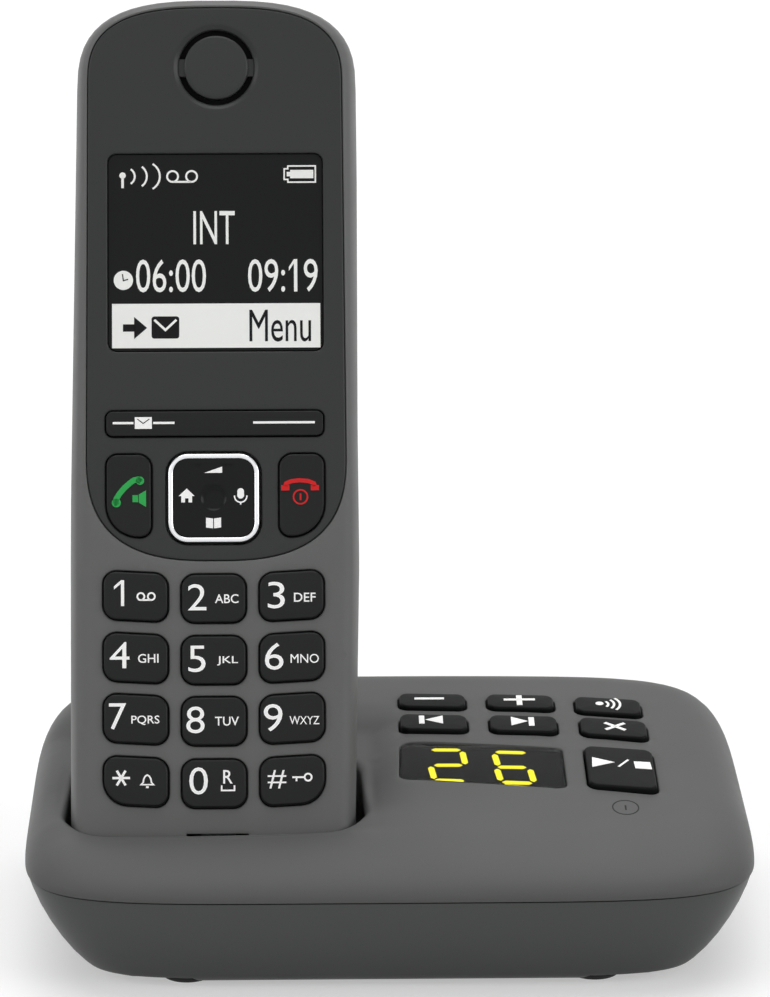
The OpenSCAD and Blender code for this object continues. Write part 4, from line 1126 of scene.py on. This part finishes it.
# %% Battery cover
gaps = (0.0, 0.08, 0.2, 0.45)
loops = [cover_at(-d) for d in gaps]
spots, triangles, source = plan_mesh(loops[0], [], loops[1:], grid(-18, 18, 35, 92, 1.9), 0.7)
lost = drops_at(source, loops, [fall(d, gaps[-1]) for d in gaps])
groove = sum(0.35 * np.exp(-((spots[:, 1] - z) / 0.5) ** 2) * (np.abs(spots[:, 0]) < 7)
             for z in (80.0, 82.2, 84.4))
level = back_height(spots)
sheet = slab(spots, triangles, source, level - lost - groove, level - 2.0, loops[:1])
piece = solid("cover_of_battery_bay", sheet.all(), sheet.faces, back_plastic, "battery_cover",
              BACK)
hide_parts("battery_cover")
print("cover faces:", len(piece.data.polygons))

# %% [markdown]
# ## Key caps
# A rubber-dome key is a hard cap on a stem, held in by a flange under the wall. Seen from outside it is a
# rounded box with a soft edge and an almost flat top. Each cap is stacked from outlines: flange, stem side,
# seven outlines round the edge and a few on the slightly crowned top.

# %% Cap builder
def box_rings(outlines, w, l, corners, slope=0.0, steps=10):
    """Rounded box outlines in space, from pairs of inset and height."""
    return [at(rounded(w, l, corners, -inset, slope, steps), z) for inset, z in outlines]


def cap(w, l, corners, slope, height, wall, flange, soft=0.5, crown=0.08, stem=None):
    """A key cap; stem holds the top and bottom of the round stem that presses on the mat."""
    outlines = [(-flange, -wall - 0.95), (-flange, -wall - 0.25), (0.0, -wall - 0.25), (0.0, -wall + 0.6),
                (0.0, height - soft)]
    outlines += [(soft * (1 - math.cos(a)), height - soft + soft * math.sin(a))
                 for a in np.radians([15, 32, 48, 63, 77, 90])]
    reach = min(w, l) / 2 - 0.5
    outlines += [(soft + (reach - soft) * f, height + crown * (1 - (1 - f) ** 2))
                 for f in (0.15, 0.35, 0.6, 0.85)]
    sheet = Sheet()
    sheet.prism(*box_rings(outlines, w, l, corners, slope))
    if stem:
        sheet.prism(*[at(circle(0, 0, 1.5, 20), z) for z in stem])
    return sheet


print("cap builder ready")

# %% Base keys
DECK = Matrix.Translation(Vector((0, 0, KEY_PLANE)) * MM) @ Matrix.Rotation(TILT, 4, "X")


def deck_drop(x, y):
    return crown(x, y) + float(dish(x, y))


for name, (x, y, slope, w, l) in DECK_KEYS.items():
    sheet = cap(w - 0.35, l - 0.35, (1.65,) * 4, slope, 0.85, 2.7, 0.7, stem=(-3.5, -3.8))
    piece = solid(name + "_cap", sheet.all() + (x, y, -deck_drop(x, y)), sheet.faces, deck_key_plastic, name,
                  DECK, crease=50)
    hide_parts(name)
print("base keys:", len(DECK_KEYS))

# %% Keypad, call keys and display key bar
for name, (x, z, slope, corners) in PAD.items():
    sheet = cap(*PAD_CAP, [c - 0.25 for c in corners], slope, 0.7, 2.8, 0.7, soft=0.45, crown=0.1,
                stem=(-3.6, -3.71))
    piece = solid(name + "_cap", sheet.all() + (x, z, 0), sheet.faces, key_plastic, name,
                  FACE, crease=50)
    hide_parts(name)
for name, spot, corners in (("talk_key", TALK_SPOT, TALK), ("end_key", END_SPOT, END)):
    sheet = cap(*CALL_CAP, [c - 0.25 for c in corners], 0, 0.4, 2.8, 0.6, soft=0.4)
    piece = solid(name + "_cap", sheet.all() + (*spot, 0), sheet.faces, key_plastic, name,
                  FACE, crease=50)
    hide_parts(name)
sheet = cap(*BAR_CAP, (1.2,) * 4, 0, 0.35, 2.8, 0.0, soft=0.3, crown=0.05)
rocker = circle(0, -4.4, 0.8, 24)
sheet.prism(*[np.column_stack([rocker[:, 0], np.full(24, v), rocker[:, 1]]) for v in (-2.3, 2.3)])
piece = solid("display_key_bar", sheet.all() + (*BAR_SPOT, 0), sheet.faces, key_plastic, "softkey_bar",
              FACE, crease=50)
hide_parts("softkey_bar")
print("handset keys:", len(PAD) + 3)

# %% [markdown]
# ## The navigation key
# A four-way key: a bright plated frame round a black rocker with a small dimple in the middle that finds the
# fingertip. Frame and face are one moulding in two finishes on the real thing, so they are two pieces here
# that tilt together.

# %% Navigation key
FRAME_WIDE = 0.95
outlines = [(FRAME_WIDE, -3.0), (0.05, -3.0), (0.0, 0.08), (0.03, 0.2), (0.12, 0.32), (0.28, 0.42),
            (0.48, 0.45), (0.68, 0.42), (0.84, 0.32), (0.93, 0.18), (FRAME_WIDE, 0.02)]
sheet = Sheet()
rows = [sheet.add(ring) for ring in box_rings(outlines, NAV_W, NAV_L, NAV_CORNERS, steps=14)]
sheet.join(*rows, rows[0])
piece = solid("nav_frame", sheet.all() + (*NAV_SPOT, 0), sheet.faces, chrome, "nav_key", FACE,
              crease=60)
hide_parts("nav_key")
outline, *rings = [rounded(NAV_W, NAV_L, NAV_CORNERS, -e, 0, 14) for e in (FRAME_WIDE, 1.1, 1.35, 1.8)]
rings = [circle(0, 0, r, 40) for r in (2.35, 2.2, 2.05, 1.6, 1.0)] + rings
spots, triangles, source = plan_mesh(outline, [], rings, grid(-8, 8, -8, 8, 0.9), 0.35)
r = np.hypot(spots[:, 0], spots[:, 1])
edge = np.minimum(8.1 - FRAME_WIDE - np.abs(spots[:, 0]), 7.9 - FRAME_WIDE - np.abs(spots[:, 1]))
level = 0.3 - 0.12 * np.clip(1 - edge / 0.8, 0, 1) ** 2 + 0.1 * (r / 8) ** 2
dimple = 0.42 * np.clip((2.25 - r) / 0.9, 0, 1) ** 0.7 - 0.07 * np.exp(-((r - 2.35) / 0.14) ** 2)
sheet = slab(spots, triangles, source, level - dimple, -3.2, [outline])
for y in (-1.9, 1.9):
    sheet.brick(-1.4, 1.4, y - 0.4, y + 0.4, -5.4, -3.2)
piece = solid("nav_face", sheet.all() + (*NAV_SPOT, 0), sheet.faces, gloss_black, "nav_key",
              FACE, crease=50)
print("navigation key made")

# %% [markdown]
# ## Faceplate, earpiece and screen
# The dark faceplate is an inlay with a smoother skin than the housing. It is flat, and its edge is broken by
# a small radius, which draws the fine dark line round it. The earpiece is a separate disc in a round slot.
# Round that slot the plate dips softly, so the disc stands like a button.

# %% Faceplate
EAR_X, EAR_Z = EAR_SPOT
gaps = (0.0, 0.05, 0.14, 0.3)
plate_cut = Openings()
plate_cut.cut(lambda d: spaced(rounded(8.35, 15.05, TALK, d), 1.5) + TALK_SPOT, gaps)
plate_cut.cut(lambda d: spaced(rounded(8.35, 15.05, END, d), 1.5) + END_SPOT, gaps)
plate_cut.cut(lambda d: spaced(rounded(NAV_W, NAV_L, NAV_CORNERS, 0.45 + d), 1.5) + NAV_SPOT, gaps)
plate_cut.cut(lambda d: spaced(rounded(38.9, 4.8, (1.4,) * 4, d), 1.5) + BAR_SPOT, gaps)
plate_cut.cut(lambda d: spaced(rounded(38.4, 35.5, (1.6,) * 4, d), 1.5) + SCREEN_SPOT, gaps)
plate_cut.cut(lambda d: circle(EAR_X, EAR_Z, 6.72 + d * 0.6, 72), gaps)
plate_cut.plain([], [circle(EAR_X, EAR_Z, r, 64) for r in (7.05, 7.25, 7.5, 7.7, 8.1)])
outline, *edge_rings = [plate_outline(-d) for d in (0, 0.06, 0.16, 0.35)]
outline_drop, *edge_drops = [float(fall(d, 0.35)) for d in (0, 0.06, 0.16, 0.35)]
plate_cut.add([], [], edge_rings, edge_drops)
spots, triangles, source = plan_mesh(outline, plate_cut.holes, plate_cut.rings,
                                     grid(-23, 23, 59, 160, 1.5), 0.55)
drop = drops_at(source, [outline, *plate_cut.holes, *plate_cut.rings],
                [outline_drop, *plate_cut.hole_drops, *plate_cut.ring_drops])
r = np.hypot(spots[:, 0] - EAR_X, spots[:, 1] - EAR_Z)
level = -0.02 - drop - 0.6 * np.clip((7.65 - r) / 0.93, 0, 1)
sheet = slab(spots, triangles, source, level, -1.28, [outline, *plate_cut.holes])
piece = solid("faceplate", sheet.all(), sheet.faces, plate_plastic, "handset", FACE)
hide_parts("handset_faceplate")
print("faceplate faces:", len(piece.data.polygons))


# %% Earpiece disc and screen pane
def turned(profile, steps=72):
    """A closed profile of radius and height, turned round the upright axis."""
    sheet = Sheet()
    rows = [sheet.add(at(circle(0, 0, r, steps), z)) if r > 0 else sheet.add([(0, 0, z)]) * steps
            for r, z in profile]
    for a, b in zip(rows, rows[1:]):
        for quad in strip(a, b):
            corners = [v for k, v in enumerate(quad) if v != quad[k - 1]]
            if len(set(corners)) > 2:
                sheet.faces.append(corners)
    return sheet


sheet = turned([(0, 0.06), (3.0, 0.03), (4.8, -0.02), (5.3, -0.07), (5.55, -0.17), (5.7, -0.36),
                (5.7, -2.3), (0, -2.3)])
for x in (-7.0, 5.5):
    sheet.brick(x, x + 1.5, -1.55, 1.55, -2.3, -0.95)
piece = solid("earpiece_disc", sheet.all() + (*EAR_SPOT, 0), sheet.faces, disc_plastic, "handset",
              FACE)
sheet = turned([(5.75, -2.0), (7.15, -2.0), (7.15, -2.58), (5.75, -2.58), (5.75, -2.0)])
slot = solid("earpiece_slot_gauze", sheet.all() + (*EAR_SPOT, 0), sheet.faces, gauze, "handset",
             FACE)
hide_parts("earpiece_cap")
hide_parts("earpiece_cap")
outlines = [(0.0, -1.28), (0.0, -0.55), (0.05, -0.47), (0.15, -0.43), (4.0, -0.43)]
sheet = Sheet()
sheet.prism(*box_rings(outlines, 38.2, 35.3, (1.6,) * 4, steps=8))
piece = solid("screen_pane", sheet.all() + (*SCREEN_SPOT, 0), sheet.faces, screen_glass, "handset",
              FACE)
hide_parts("screen_lens")
print("earpiece and screen pane made")

# %% [markdown]
# ## The display window of the base
# A smoked pane lies flush in the deck with two lit digits close under it. Each digit is made of pointed bars
# with small dark gaps between them, leaning a little, as on any seven-bar display.

# %% Display window
def outline_in(outline, d):
    middle = outline.mean(0)
    away = outline - middle
    return middle + away * (1 - d / np.maximum(4, np.abs(away).max(0)))


def pane(outline, top, thick, soft):
    """A plate that follows the deck: its outline, depth of its top, thickness and edge rounding."""
    rings = [outline_in(outline, d) for d in (soft * 0.3, soft)]
    spots, triangles, source = plan_mesh(outline, [], rings, grid(1, 33, -15, 6, 2.2), 1.0)
    lost = drops_at(source, [outline, *rings], (soft, soft * 0.35, 0.0))
    level = surface_level(spots) - top
    return slab(spots, triangles, source, level - lost, level - thick, [outline])


sheet = pane(window_outline(-0.02), 0.06, 0.45, 0.1)
piece = solid("display_pane", sheet.all(), sheet.faces, smoked, "base", DECK)
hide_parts("display_window")
sheet = pane(window_outline(-0.3), 0.7, 2.6, 0.05)
piece = solid("display_block", sheet.all(), sheet.faces, window_floor, "base", DECK)
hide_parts("digit_display")
BARS = [((7.96, 2.4), (13.36, 2.3)), ((13.6, 1.67), (14.0, -3.6)), ((8.25, -4.0), (13.5, -4.0)),
        ((7.68, -4.5), (8.2, -9.4)), ((8.2, -9.9), (13.6, -10.3)), ((19.6, 1.45), (25.2, 1.15)),
        ((19.4, 0.6), (19.9, -4.15)), ((19.75, -4.75), (25.05, -4.9)), ((19.6, -5.45), (20.15, -10.2)),
        ((25.6, -5.6), (26.1, -10.7)), ((20.3, -10.8), (25.8, -11.25))]
sheet = Sheet()
for a, b in BARS:
    a, b = np.array(a), np.array(b)
    u = (b - a) / np.linalg.norm(b - a)
    v = np.array([-u[1], u[0]]) * 0.56
    a, b = a + u * 0.05, b - u * 0.05
    loop = np.array([a, a + u * 0.6 - v, b - u * 0.6 - v, b, b - u * 0.6 + v, a + u * 0.6 + v])
    sheet.prism(*[at(loop, surface_level(loop) - depth) for depth in (0.58, 0.74)])
piece = solid("lit_digit_bars", sheet.all(), sheet.faces, lit_bar, "base", DECK, crease=30)
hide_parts("digit_segments")
print("digit bars:", len(BARS))

# %% [markdown]
# ## Printed marks
# Digits, letters and symbols are printed or moulded in a second colour. Each mark is a thin closed solid that
# stands a few hundredths of a millimetre proud, so it never flickers against the key under it. Symbols are
# built from two simple forms, a filled outline and a line of a given width. Letters come from Blender's own
# font, stretched to the size they have on the key.

# %% Mark helpers
def filled(loop):
    sheet = Sheet()
    sheet.prism(at(loop, 1), at(loop, 0))
    return sheet.all(), sheet.faces


def line(path, width, closed=False):
    p = np.asarray(path, float)
    if closed:
        ahead, behind = np.roll(p, -1, axis=0) - p, p - np.roll(p, 1, axis=0)
    else:
        ahead = np.vstack([p[1:] - p[:-1], p[-1:] - p[-2:-1]])
        behind = np.vstack([ahead[:1], ahead[:-1]])
    ahead = ahead / np.linalg.norm(ahead, axis=1)[:, None]
    behind = behind / np.linalg.norm(behind, axis=1)[:, None]
    mean = ahead + behind
    mean = mean / np.linalg.norm(mean, axis=1)[:, None]
    reach = width / 2 / np.maximum(0.45, (mean * ahead).sum(1))
    side = np.column_stack([-mean[:, 1], mean[:, 0]]) * reach[:, None]
    if not closed:
        return filled(np.vstack([p + side, (p - side)[::-1]]))
    sheet = Sheet()
    a, b, c, d = [sheet.add(at(row, z)) for row in (p + side, p - side) for z in (1, 0)]
    for pair in ((a, c), (b, d), (a, b), (c, d)):
        sheet.join(*pair)
    return sheet.all(), sheet.faces


def arc(x, y, r, a0, a1, count=14):
    return [(x + r * math.cos(a), y + r * math.sin(a)) for a in np.radians(np.linspace(a0, a1, count))]


def ring(x, y, r, width, count=32):
    return line(arc(x, y, r, 0, 360 * (1 - 1 / count), count), width, True)


def box(x0, x1, y0, y1):
    return filled([(x1, y1), (x0, y1), (x0, y0), (x1, y0)])


def letters(text, x0, x1, y0, y1, bold=0.0):
    """Triangles and outline of a word, stretched into a box."""
    curve = bpy.data.curves.new("word", "FONT")
    curve.body = text
    curve.extrude = 0.05
    curve.offset = bold
    curve.resolution_u = 4
    thing = bpy.data.objects.new("word", curve)
    scene.collection.objects.link(thing)
    bpy.context.view_layer.update()
    made = bpy.data.meshes.new_from_object(thing.evaluated_get(bpy.context.evaluated_depsgraph_get()))
    p = np.array([v.co[:] for v in made.vertices])
    faces = [tuple(f.vertices) for f in made.polygons]
    bpy.data.objects.remove(thing)
    bpy.data.curves.remove(curve)
    bpy.data.meshes.remove(made)
    low, high = p.min(0), p.max(0)
    p = (p - low) / (high - low)
    return [(x0 + (x1 - x0) * a, y0 + (y1 - y0) * b, round(c)) for a, b, c in p], faces


def one(x0, x1, y0, y1, width):
    """The figure one: an upright with a slanting flag, which the font leaves out."""
    h = y1 - y0
    return [filled([(x1, y1), (x1 - width, y1), (x0, y1 - 0.24 * h), (x0, y1 - 0.36 * h),
                    (x1 - width, y1 - 0.13 * h), (x1 - width, y0), (x1, y0)])]


def mark(name, shapes, made, body, base, lift, place):
    """Joins shapes into one thin solid. base is a height, or a function that gives one for each point."""
    sheet = Sheet()
    for points, faces in shapes:
        first = sheet.add(points)[0]
        sheet.faces += [tuple(i + first for i in f) for f in faces]
    p = sheet.all()
    low = base(p[:, :2]) if callable(base) else base
    p[:, 2] = np.where(p[:, 2] > 0.5, low + lift, low - 0.06)
    return solid(name, p, sheet.faces, made, body, place, crease=30)


print("mark helpers ready")

# %% Keypad marks
DIGITS = {
    "1": (-18.15, -16.35, 51.79, 56.36), "2": (-5.11, -1.83, 50.96, 55.6), "3": (9.03, 12.04, 51.22, 55.93),
    "4": (-18.92, -15.44, 40.8, 45.43), "5": (-5.05, -2.01, 40.04, 44.71), "6": (8.47, 11.75, 40.37, 45.13),
    "7": (-19.08, -16.05, 30.0, 34.62), "8": (-5.45, -2.22, 29.24, 33.97), "9": (8.22, 11.53, 29.5, 34.32),
    "0": (-4.95, -1.68, 18.46, 23.24), "#": (8.87, 12.15, 19.45, 22.68),
}
WORDS = {
    "2": ("ABC", -0.31, 3.85, 52.19, 53.78), "3": ("DEF", 13.66, 17.49, 52.38, 53.97),
    "4": ("GHI", -13.93, -10.31, 41.72, 43.3), "5": ("JKL", 0.02, 3.7, 41.19, 42.82),
    "6": ("MNO", 13.0, 18.0, 41.55, 43.14), "7": ("PQRS", -15.14, -10.18, 30.75, 32.43),
    "8": ("TUV", -0.39, 3.83, 30.56, 32.14), "9": ("WXYZ", 12.77, 18.04, 30.71, 32.16),
    "0": ("R", 1.02, 2.7, 20.35, 22.74),
}
for key, spot in DIGITS.items():
    shapes = [letters(key, *spot, bold=-0.004)] if key != "1" else one(*spot, 0.56)
    if key in WORDS:
        shapes.append(letters(WORDS[key][0], *WORDS[key][1:], bold=0.001 if key in "69" else 0.006))
    if key == "1":
        shapes += [ring(-13.4, 53.45, 0.62, 0.3), ring(-11.55, 53.45, 0.62, 0.3),
                   line([(-13.35, 52.83), (-11.6, 52.83)], 0.3)]
    if key == "0":
        shapes.append(line([(0.75, 20.05), (0.75, 19.15), (3.0, 19.15), (3.0, 20.05)], 0.28))
    if key == "#":
        shapes += [ring(16.0, 21.4, 0.62, 0.32), line([(13.2, 21.4), (15.4, 21.4)], 0.32),
                   line([(13.95, 21.4), (13.95, 20.7)], 0.32)]
    name = "hash" if key == "#" else key
    mark("print_" + name, shapes, white_ink_painted_glow, "key_" + name, 0.78, 0.07, FACE)
star = [line([(-16.95 + end * 1.55 * math.cos(a), 21.45 + end * 1.5 * math.sin(a)) for end in (-1, 1)], 0.42)
        for a in np.radians([0, 60, 120])]
bell = [line([(-13.45, 20.25), (-13.1, 20.6), (-12.95, 21.3), (-12.7, 21.75), (-12.35, 21.95),
              (-12.0, 21.75), (-11.75, 21.3), (-11.6, 20.6), (-11.25, 20.25)], 0.28, True),
        box(-12.6, -12.1, 19.65, 20.0)]
mark("print_star", star + bell, white_ink_painted_glow, "key_star", 0.78, 0.07, FACE)
print("keypad marks:", len(DIGITS) + 1)

# %% Marks on the call keys, the display key bar and the navigation key
receiver = line([(-13.35, 73.75), (-13.9, 74.25), (-14.6, 74.1), (-15.4, 73.5), (-16.3, 72.7), (-17.1, 71.75),
                 (-17.7, 70.8), (-17.85, 70.1), (-17.5, 69.7)], 1.0)
mark("print_call", [receiver, filled(arc(-13.5, 74.0, 0.74, 0, 345, 18)),
                    filled(arc(-17.7, 70.1, 0.8, 0, 345, 18)), box(-14.84, -13.85, 70.2, 71.45),
                    filled([(-13.72, 71.55), (-13.72, 70.12), (-12.45, 69.35), (-12.45, 72.3)])],
     green_ink, "talk_key", 0.47, 0.07, FACE)
cradle = line([(12.2, 72.9), (12.35, 73.4), (13.3, 73.8), (14.75, 73.95), (16.3, 73.8), (17.3, 73.4),
               (17.5, 72.9)], 0.72)
mark("print_end", [cradle, box(11.5, 12.95, 72.15, 73.1), box(16.75, 18.2, 72.15, 73.1),
                   ring(14.91, 71.0, 1.24, 0.28), box(14.76, 15.06, 70.4, 71.6)],
     red_ink, "end_key", 0.47, 0.07, FACE)
mark("print_bar", [line([(-18.3, 84.27), (-14.64, 84.27)], 0.4), line([(-11.15, 84.27), (-7.37, 84.27)], 0.4),
                   line([(6.58, 84.27), (17.52, 84.27)], 0.4), box(-14.4, -11.38, 83.23, 85.31)],
     white_ink_painted_glow, "softkey_bar", 0.38, 0.06, FACE)
mark("print_bar_fold", [line([(-13.96, 84.99), (-12.92, 84.18), (-11.8, 84.99)], 0.16)],
     dark_ink, "softkey_bar", 0.44, 0.03, FACE)
house = filled([(-5.24, 72.59), (-6.68, 71.25), (-6.21, 71.25), (-6.21, 70.12), (-5.55, 70.12),
                (-5.55, 70.85), (-4.93, 70.85), (-4.93, 70.12), (-4.3, 70.12), (-4.3, 71.25), (-3.86, 71.25)])
voice = [filled([(4.31 + 0.6 * math.cos(a), (72.0 if math.sin(a) > 0 else 71.35) + 0.6 * math.sin(a))
                 for a in np.radians(np.linspace(0, 350, 26))]),
         line(arc(4.31, 71.2, 1.1, 175, 365, 16), 0.24), box(4.18, 4.44, 69.7, 70.15)]
book = [filled([(-0.6, 67.25), (-1.84, 67.4), (-1.84, 65.65), (-0.6, 65.5)]),
        filled([(0.82, 67.4), (-0.42, 67.25), (-0.42, 65.5), (0.82, 65.65)])]
mark("print_nav", [filled([(1.05, 75.35), (1.05, 76.45), (-2.14, 75.35)]), house, *voice, *book],
     white_ink_painted_glow, "nav_key", 0.32, 0.07, FACE)
print("call, bar and navigation marks made")

# %% [markdown]
# ## What the screen shows
# The screen is on: a reverse display with white signs on black and a white band with the two display key
# labels. The signs are generic ones, an aerial with waves, a recording tape, a battery, a clock and an
# envelope. They lie on the pane as thin solids that glow a little.

# %% Screen
waves = [line(arc(x, 128.43, r, -a, a, 16), 0.34) for x, r, a in ((-15.85, 1.53, 58), (-14.32, 2.15, 54),
                                                                 (-12.43, 2.58, 60))]
aerial = [filled(arc(-16.49, 128.6, 0.57, 0, 345, 20)), box(-16.72, -16.26, 126.35, 128.3)]
tape = [ring(-7.58, 128.4, 0.97, 0.34), ring(-4.2, 128.4, 0.97, 0.34),
        line([(-7.52, 127.43), (-4.26, 127.43)], 0.34)]
cell = [line([(12.95, 130.2), (17.85, 130.2), (17.85, 127.3), (12.95, 127.3), (12.95, 127.8), (12.3, 127.8),
              (12.3, 129.7), (12.95, 129.7)][::-1], 0.26, True), box(13.35, 17.5, 128.0, 129.5),
        box(12.75, 13.4, 128.35, 129.15)]
CLOCK_LOW, CLOCK_HIGH = 107.66, 113.53
words = [letters("INT", -3.91, 3.46, 116.23, 122.17),
         letters("06:00", -14.14, -1.7, CLOCK_LOW, CLOCK_HIGH),
         letters("09:", 5.78, 12.37, CLOCK_LOW, CLOCK_HIGH), *one(13.05, 14.55, 107.7, 113.5, 0.6),
         letters("9", 15.7, 18.18, CLOCK_LOW, CLOCK_HIGH), filled(arc(-16.39, 109.82, 1.72, 0, 348, 30))]
mark("screen_signs", waves + aerial + tape + cell + words + [box(-18.42, 18.6, 97.69, 105.61)], screen_white,
     "handset", -0.42, 0.04, FACE)
pouch = filled([tuple(p) for p in rounded(4.92, 3.96, (0.5,) * 4, 0, 0, 6) + (-8.94, 101.36)])
mark("screen_labels", [box(-16.49, -14.4, 100.65, 101.95), pouch,
                       filled([(-12.2, 101.3), (-14.5, 103.27), (-14.5, 99.33)]),
                       letters("Menu", 5.99, 16.94, 98.75, 104.46),
                       line([(-16.55, 110.95), (-16.39, 109.75), (-15.55, 110.0)], 0.2)], screen_dark,
     "handset", -0.385, 0.035, FACE)
mark("screen_fold", [line([(-10.9, 102.73), (-8.94, 100.9), (-6.98, 102.73)], 0.42)], screen_white, "handset",
     -0.36, 0.04, FACE)
print("screen signs made")

# %% [markdown]
# ## Marks on the base
# The base keys carry the usual signs: less and more, back and forward, waves for paging, a cross to delete,
# and play, slash, stop. On the deck in front of the large key an on and off ring is printed in dark ink. It
# has to follow the deck, so its height is taken from the deck formula.

# %% Base marks
def key_top(name):
    x, y = DECK_KEYS[name][:2]
    return 0.92 - deck_drop(x, y)


BASE_MARKS = {
    "volume_down_key": [box(5.4, 10.9, 21.65, 22.45)],
    "volume_up_key": [box(22.0, 27.8, 21.2, 22.0), box(24.35, 25.4, 19.25, 23.4)],
    "paging_key": [filled(arc(39.75, 20.05, 0.75, 0, 345, 20)),
                   *[line(arc(39.5, 19.75, r, -38, 38, 14), 0.45) for r in (1.85, 2.95, 4.05)]],
    "previous_key": [box(6.0, 7.0, 10.75, 14.1), filled([(10.4, 14.1), (7.15, 12.4), (10.4, 10.7)])],
    "next_key": [filled([(26.0, 11.75), (22.95, 13.65), (22.95, 9.95)]), box(26.15, 27.2, 9.75, 13.35)],
    "delete_key": [line([(40.15, 11.3), (43.75, 8.1)], 0.72), line([(40.15, 8.4), (43.75, 11.0)], 0.72)],
    "play_stop_key": [filled([(40.9, -5.45), (36.95, -3.3), (36.75, -7.25)]),
                      line([(41.5, -7.3), (43.4, -4.5)], 0.42),
                      filled([(47.3, -5.6), (44.35, -5.2), (44.5, -8.0), (47.45, -8.4)])],
}
for name, shapes in BASE_MARKS.items():
    mark("print_" + name[:-4], shapes, white_ink_painted_glow, name, key_top(name), 0.07, DECK)

loop = circle(0, 0, 1, 47) * (2.3, 2.65) + (41.85, -21.35)
mark("print_power_ring", [line(loop, 0.24, True), line([(41.85, -22.3), (41.85, -20.6)], 0.3)], dark_ink,
     "base", surface_level, 0.03, DECK)
print("base marks:", len(BASE_MARKS) + 1)

# %% [markdown]
# ## Charging contacts of the handset
# Two small plated pads at the bottom end of the handset touch the sprung pins in the cradle. They are set
# flush in slots of the shell, with rounded edges and a shallow worn hollow where the pins rub.

# %% Charging pads
for side, x in (("left", -5), ("right", 5)):
    outline, *rings = [rounded(4.6, 2.6, (0.6,) * 4, -e, 0, 8) for e in (0, 0.12, 0.3)]
    spots, triangles, source = plan_mesh(outline, [], rings, grid(-2.2, 2.2, -1.2, 1.2, 0.3), 0.15)
    inset = np.minimum(2.3 - np.abs(spots[:, 0]), 1.3 - np.abs(spots[:, 1]))
    hollow = 0.05 * np.exp(-(np.hypot(spots[:, 0], spots[:, 1]) / 0.9) ** 2)
    sheet = slab(spots, triangles, source, 0.48 + fall(inset, 0.25) * 0.8 + hollow, 1.6, [outline])
    piece = solid("charging_pad_" + side, sheet.all() + (x, 8.0, 0), sheet.faces, contact_metal, "handset",
                  HANDSET)
    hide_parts("handset_charging_contacts")
print("charging pads made")
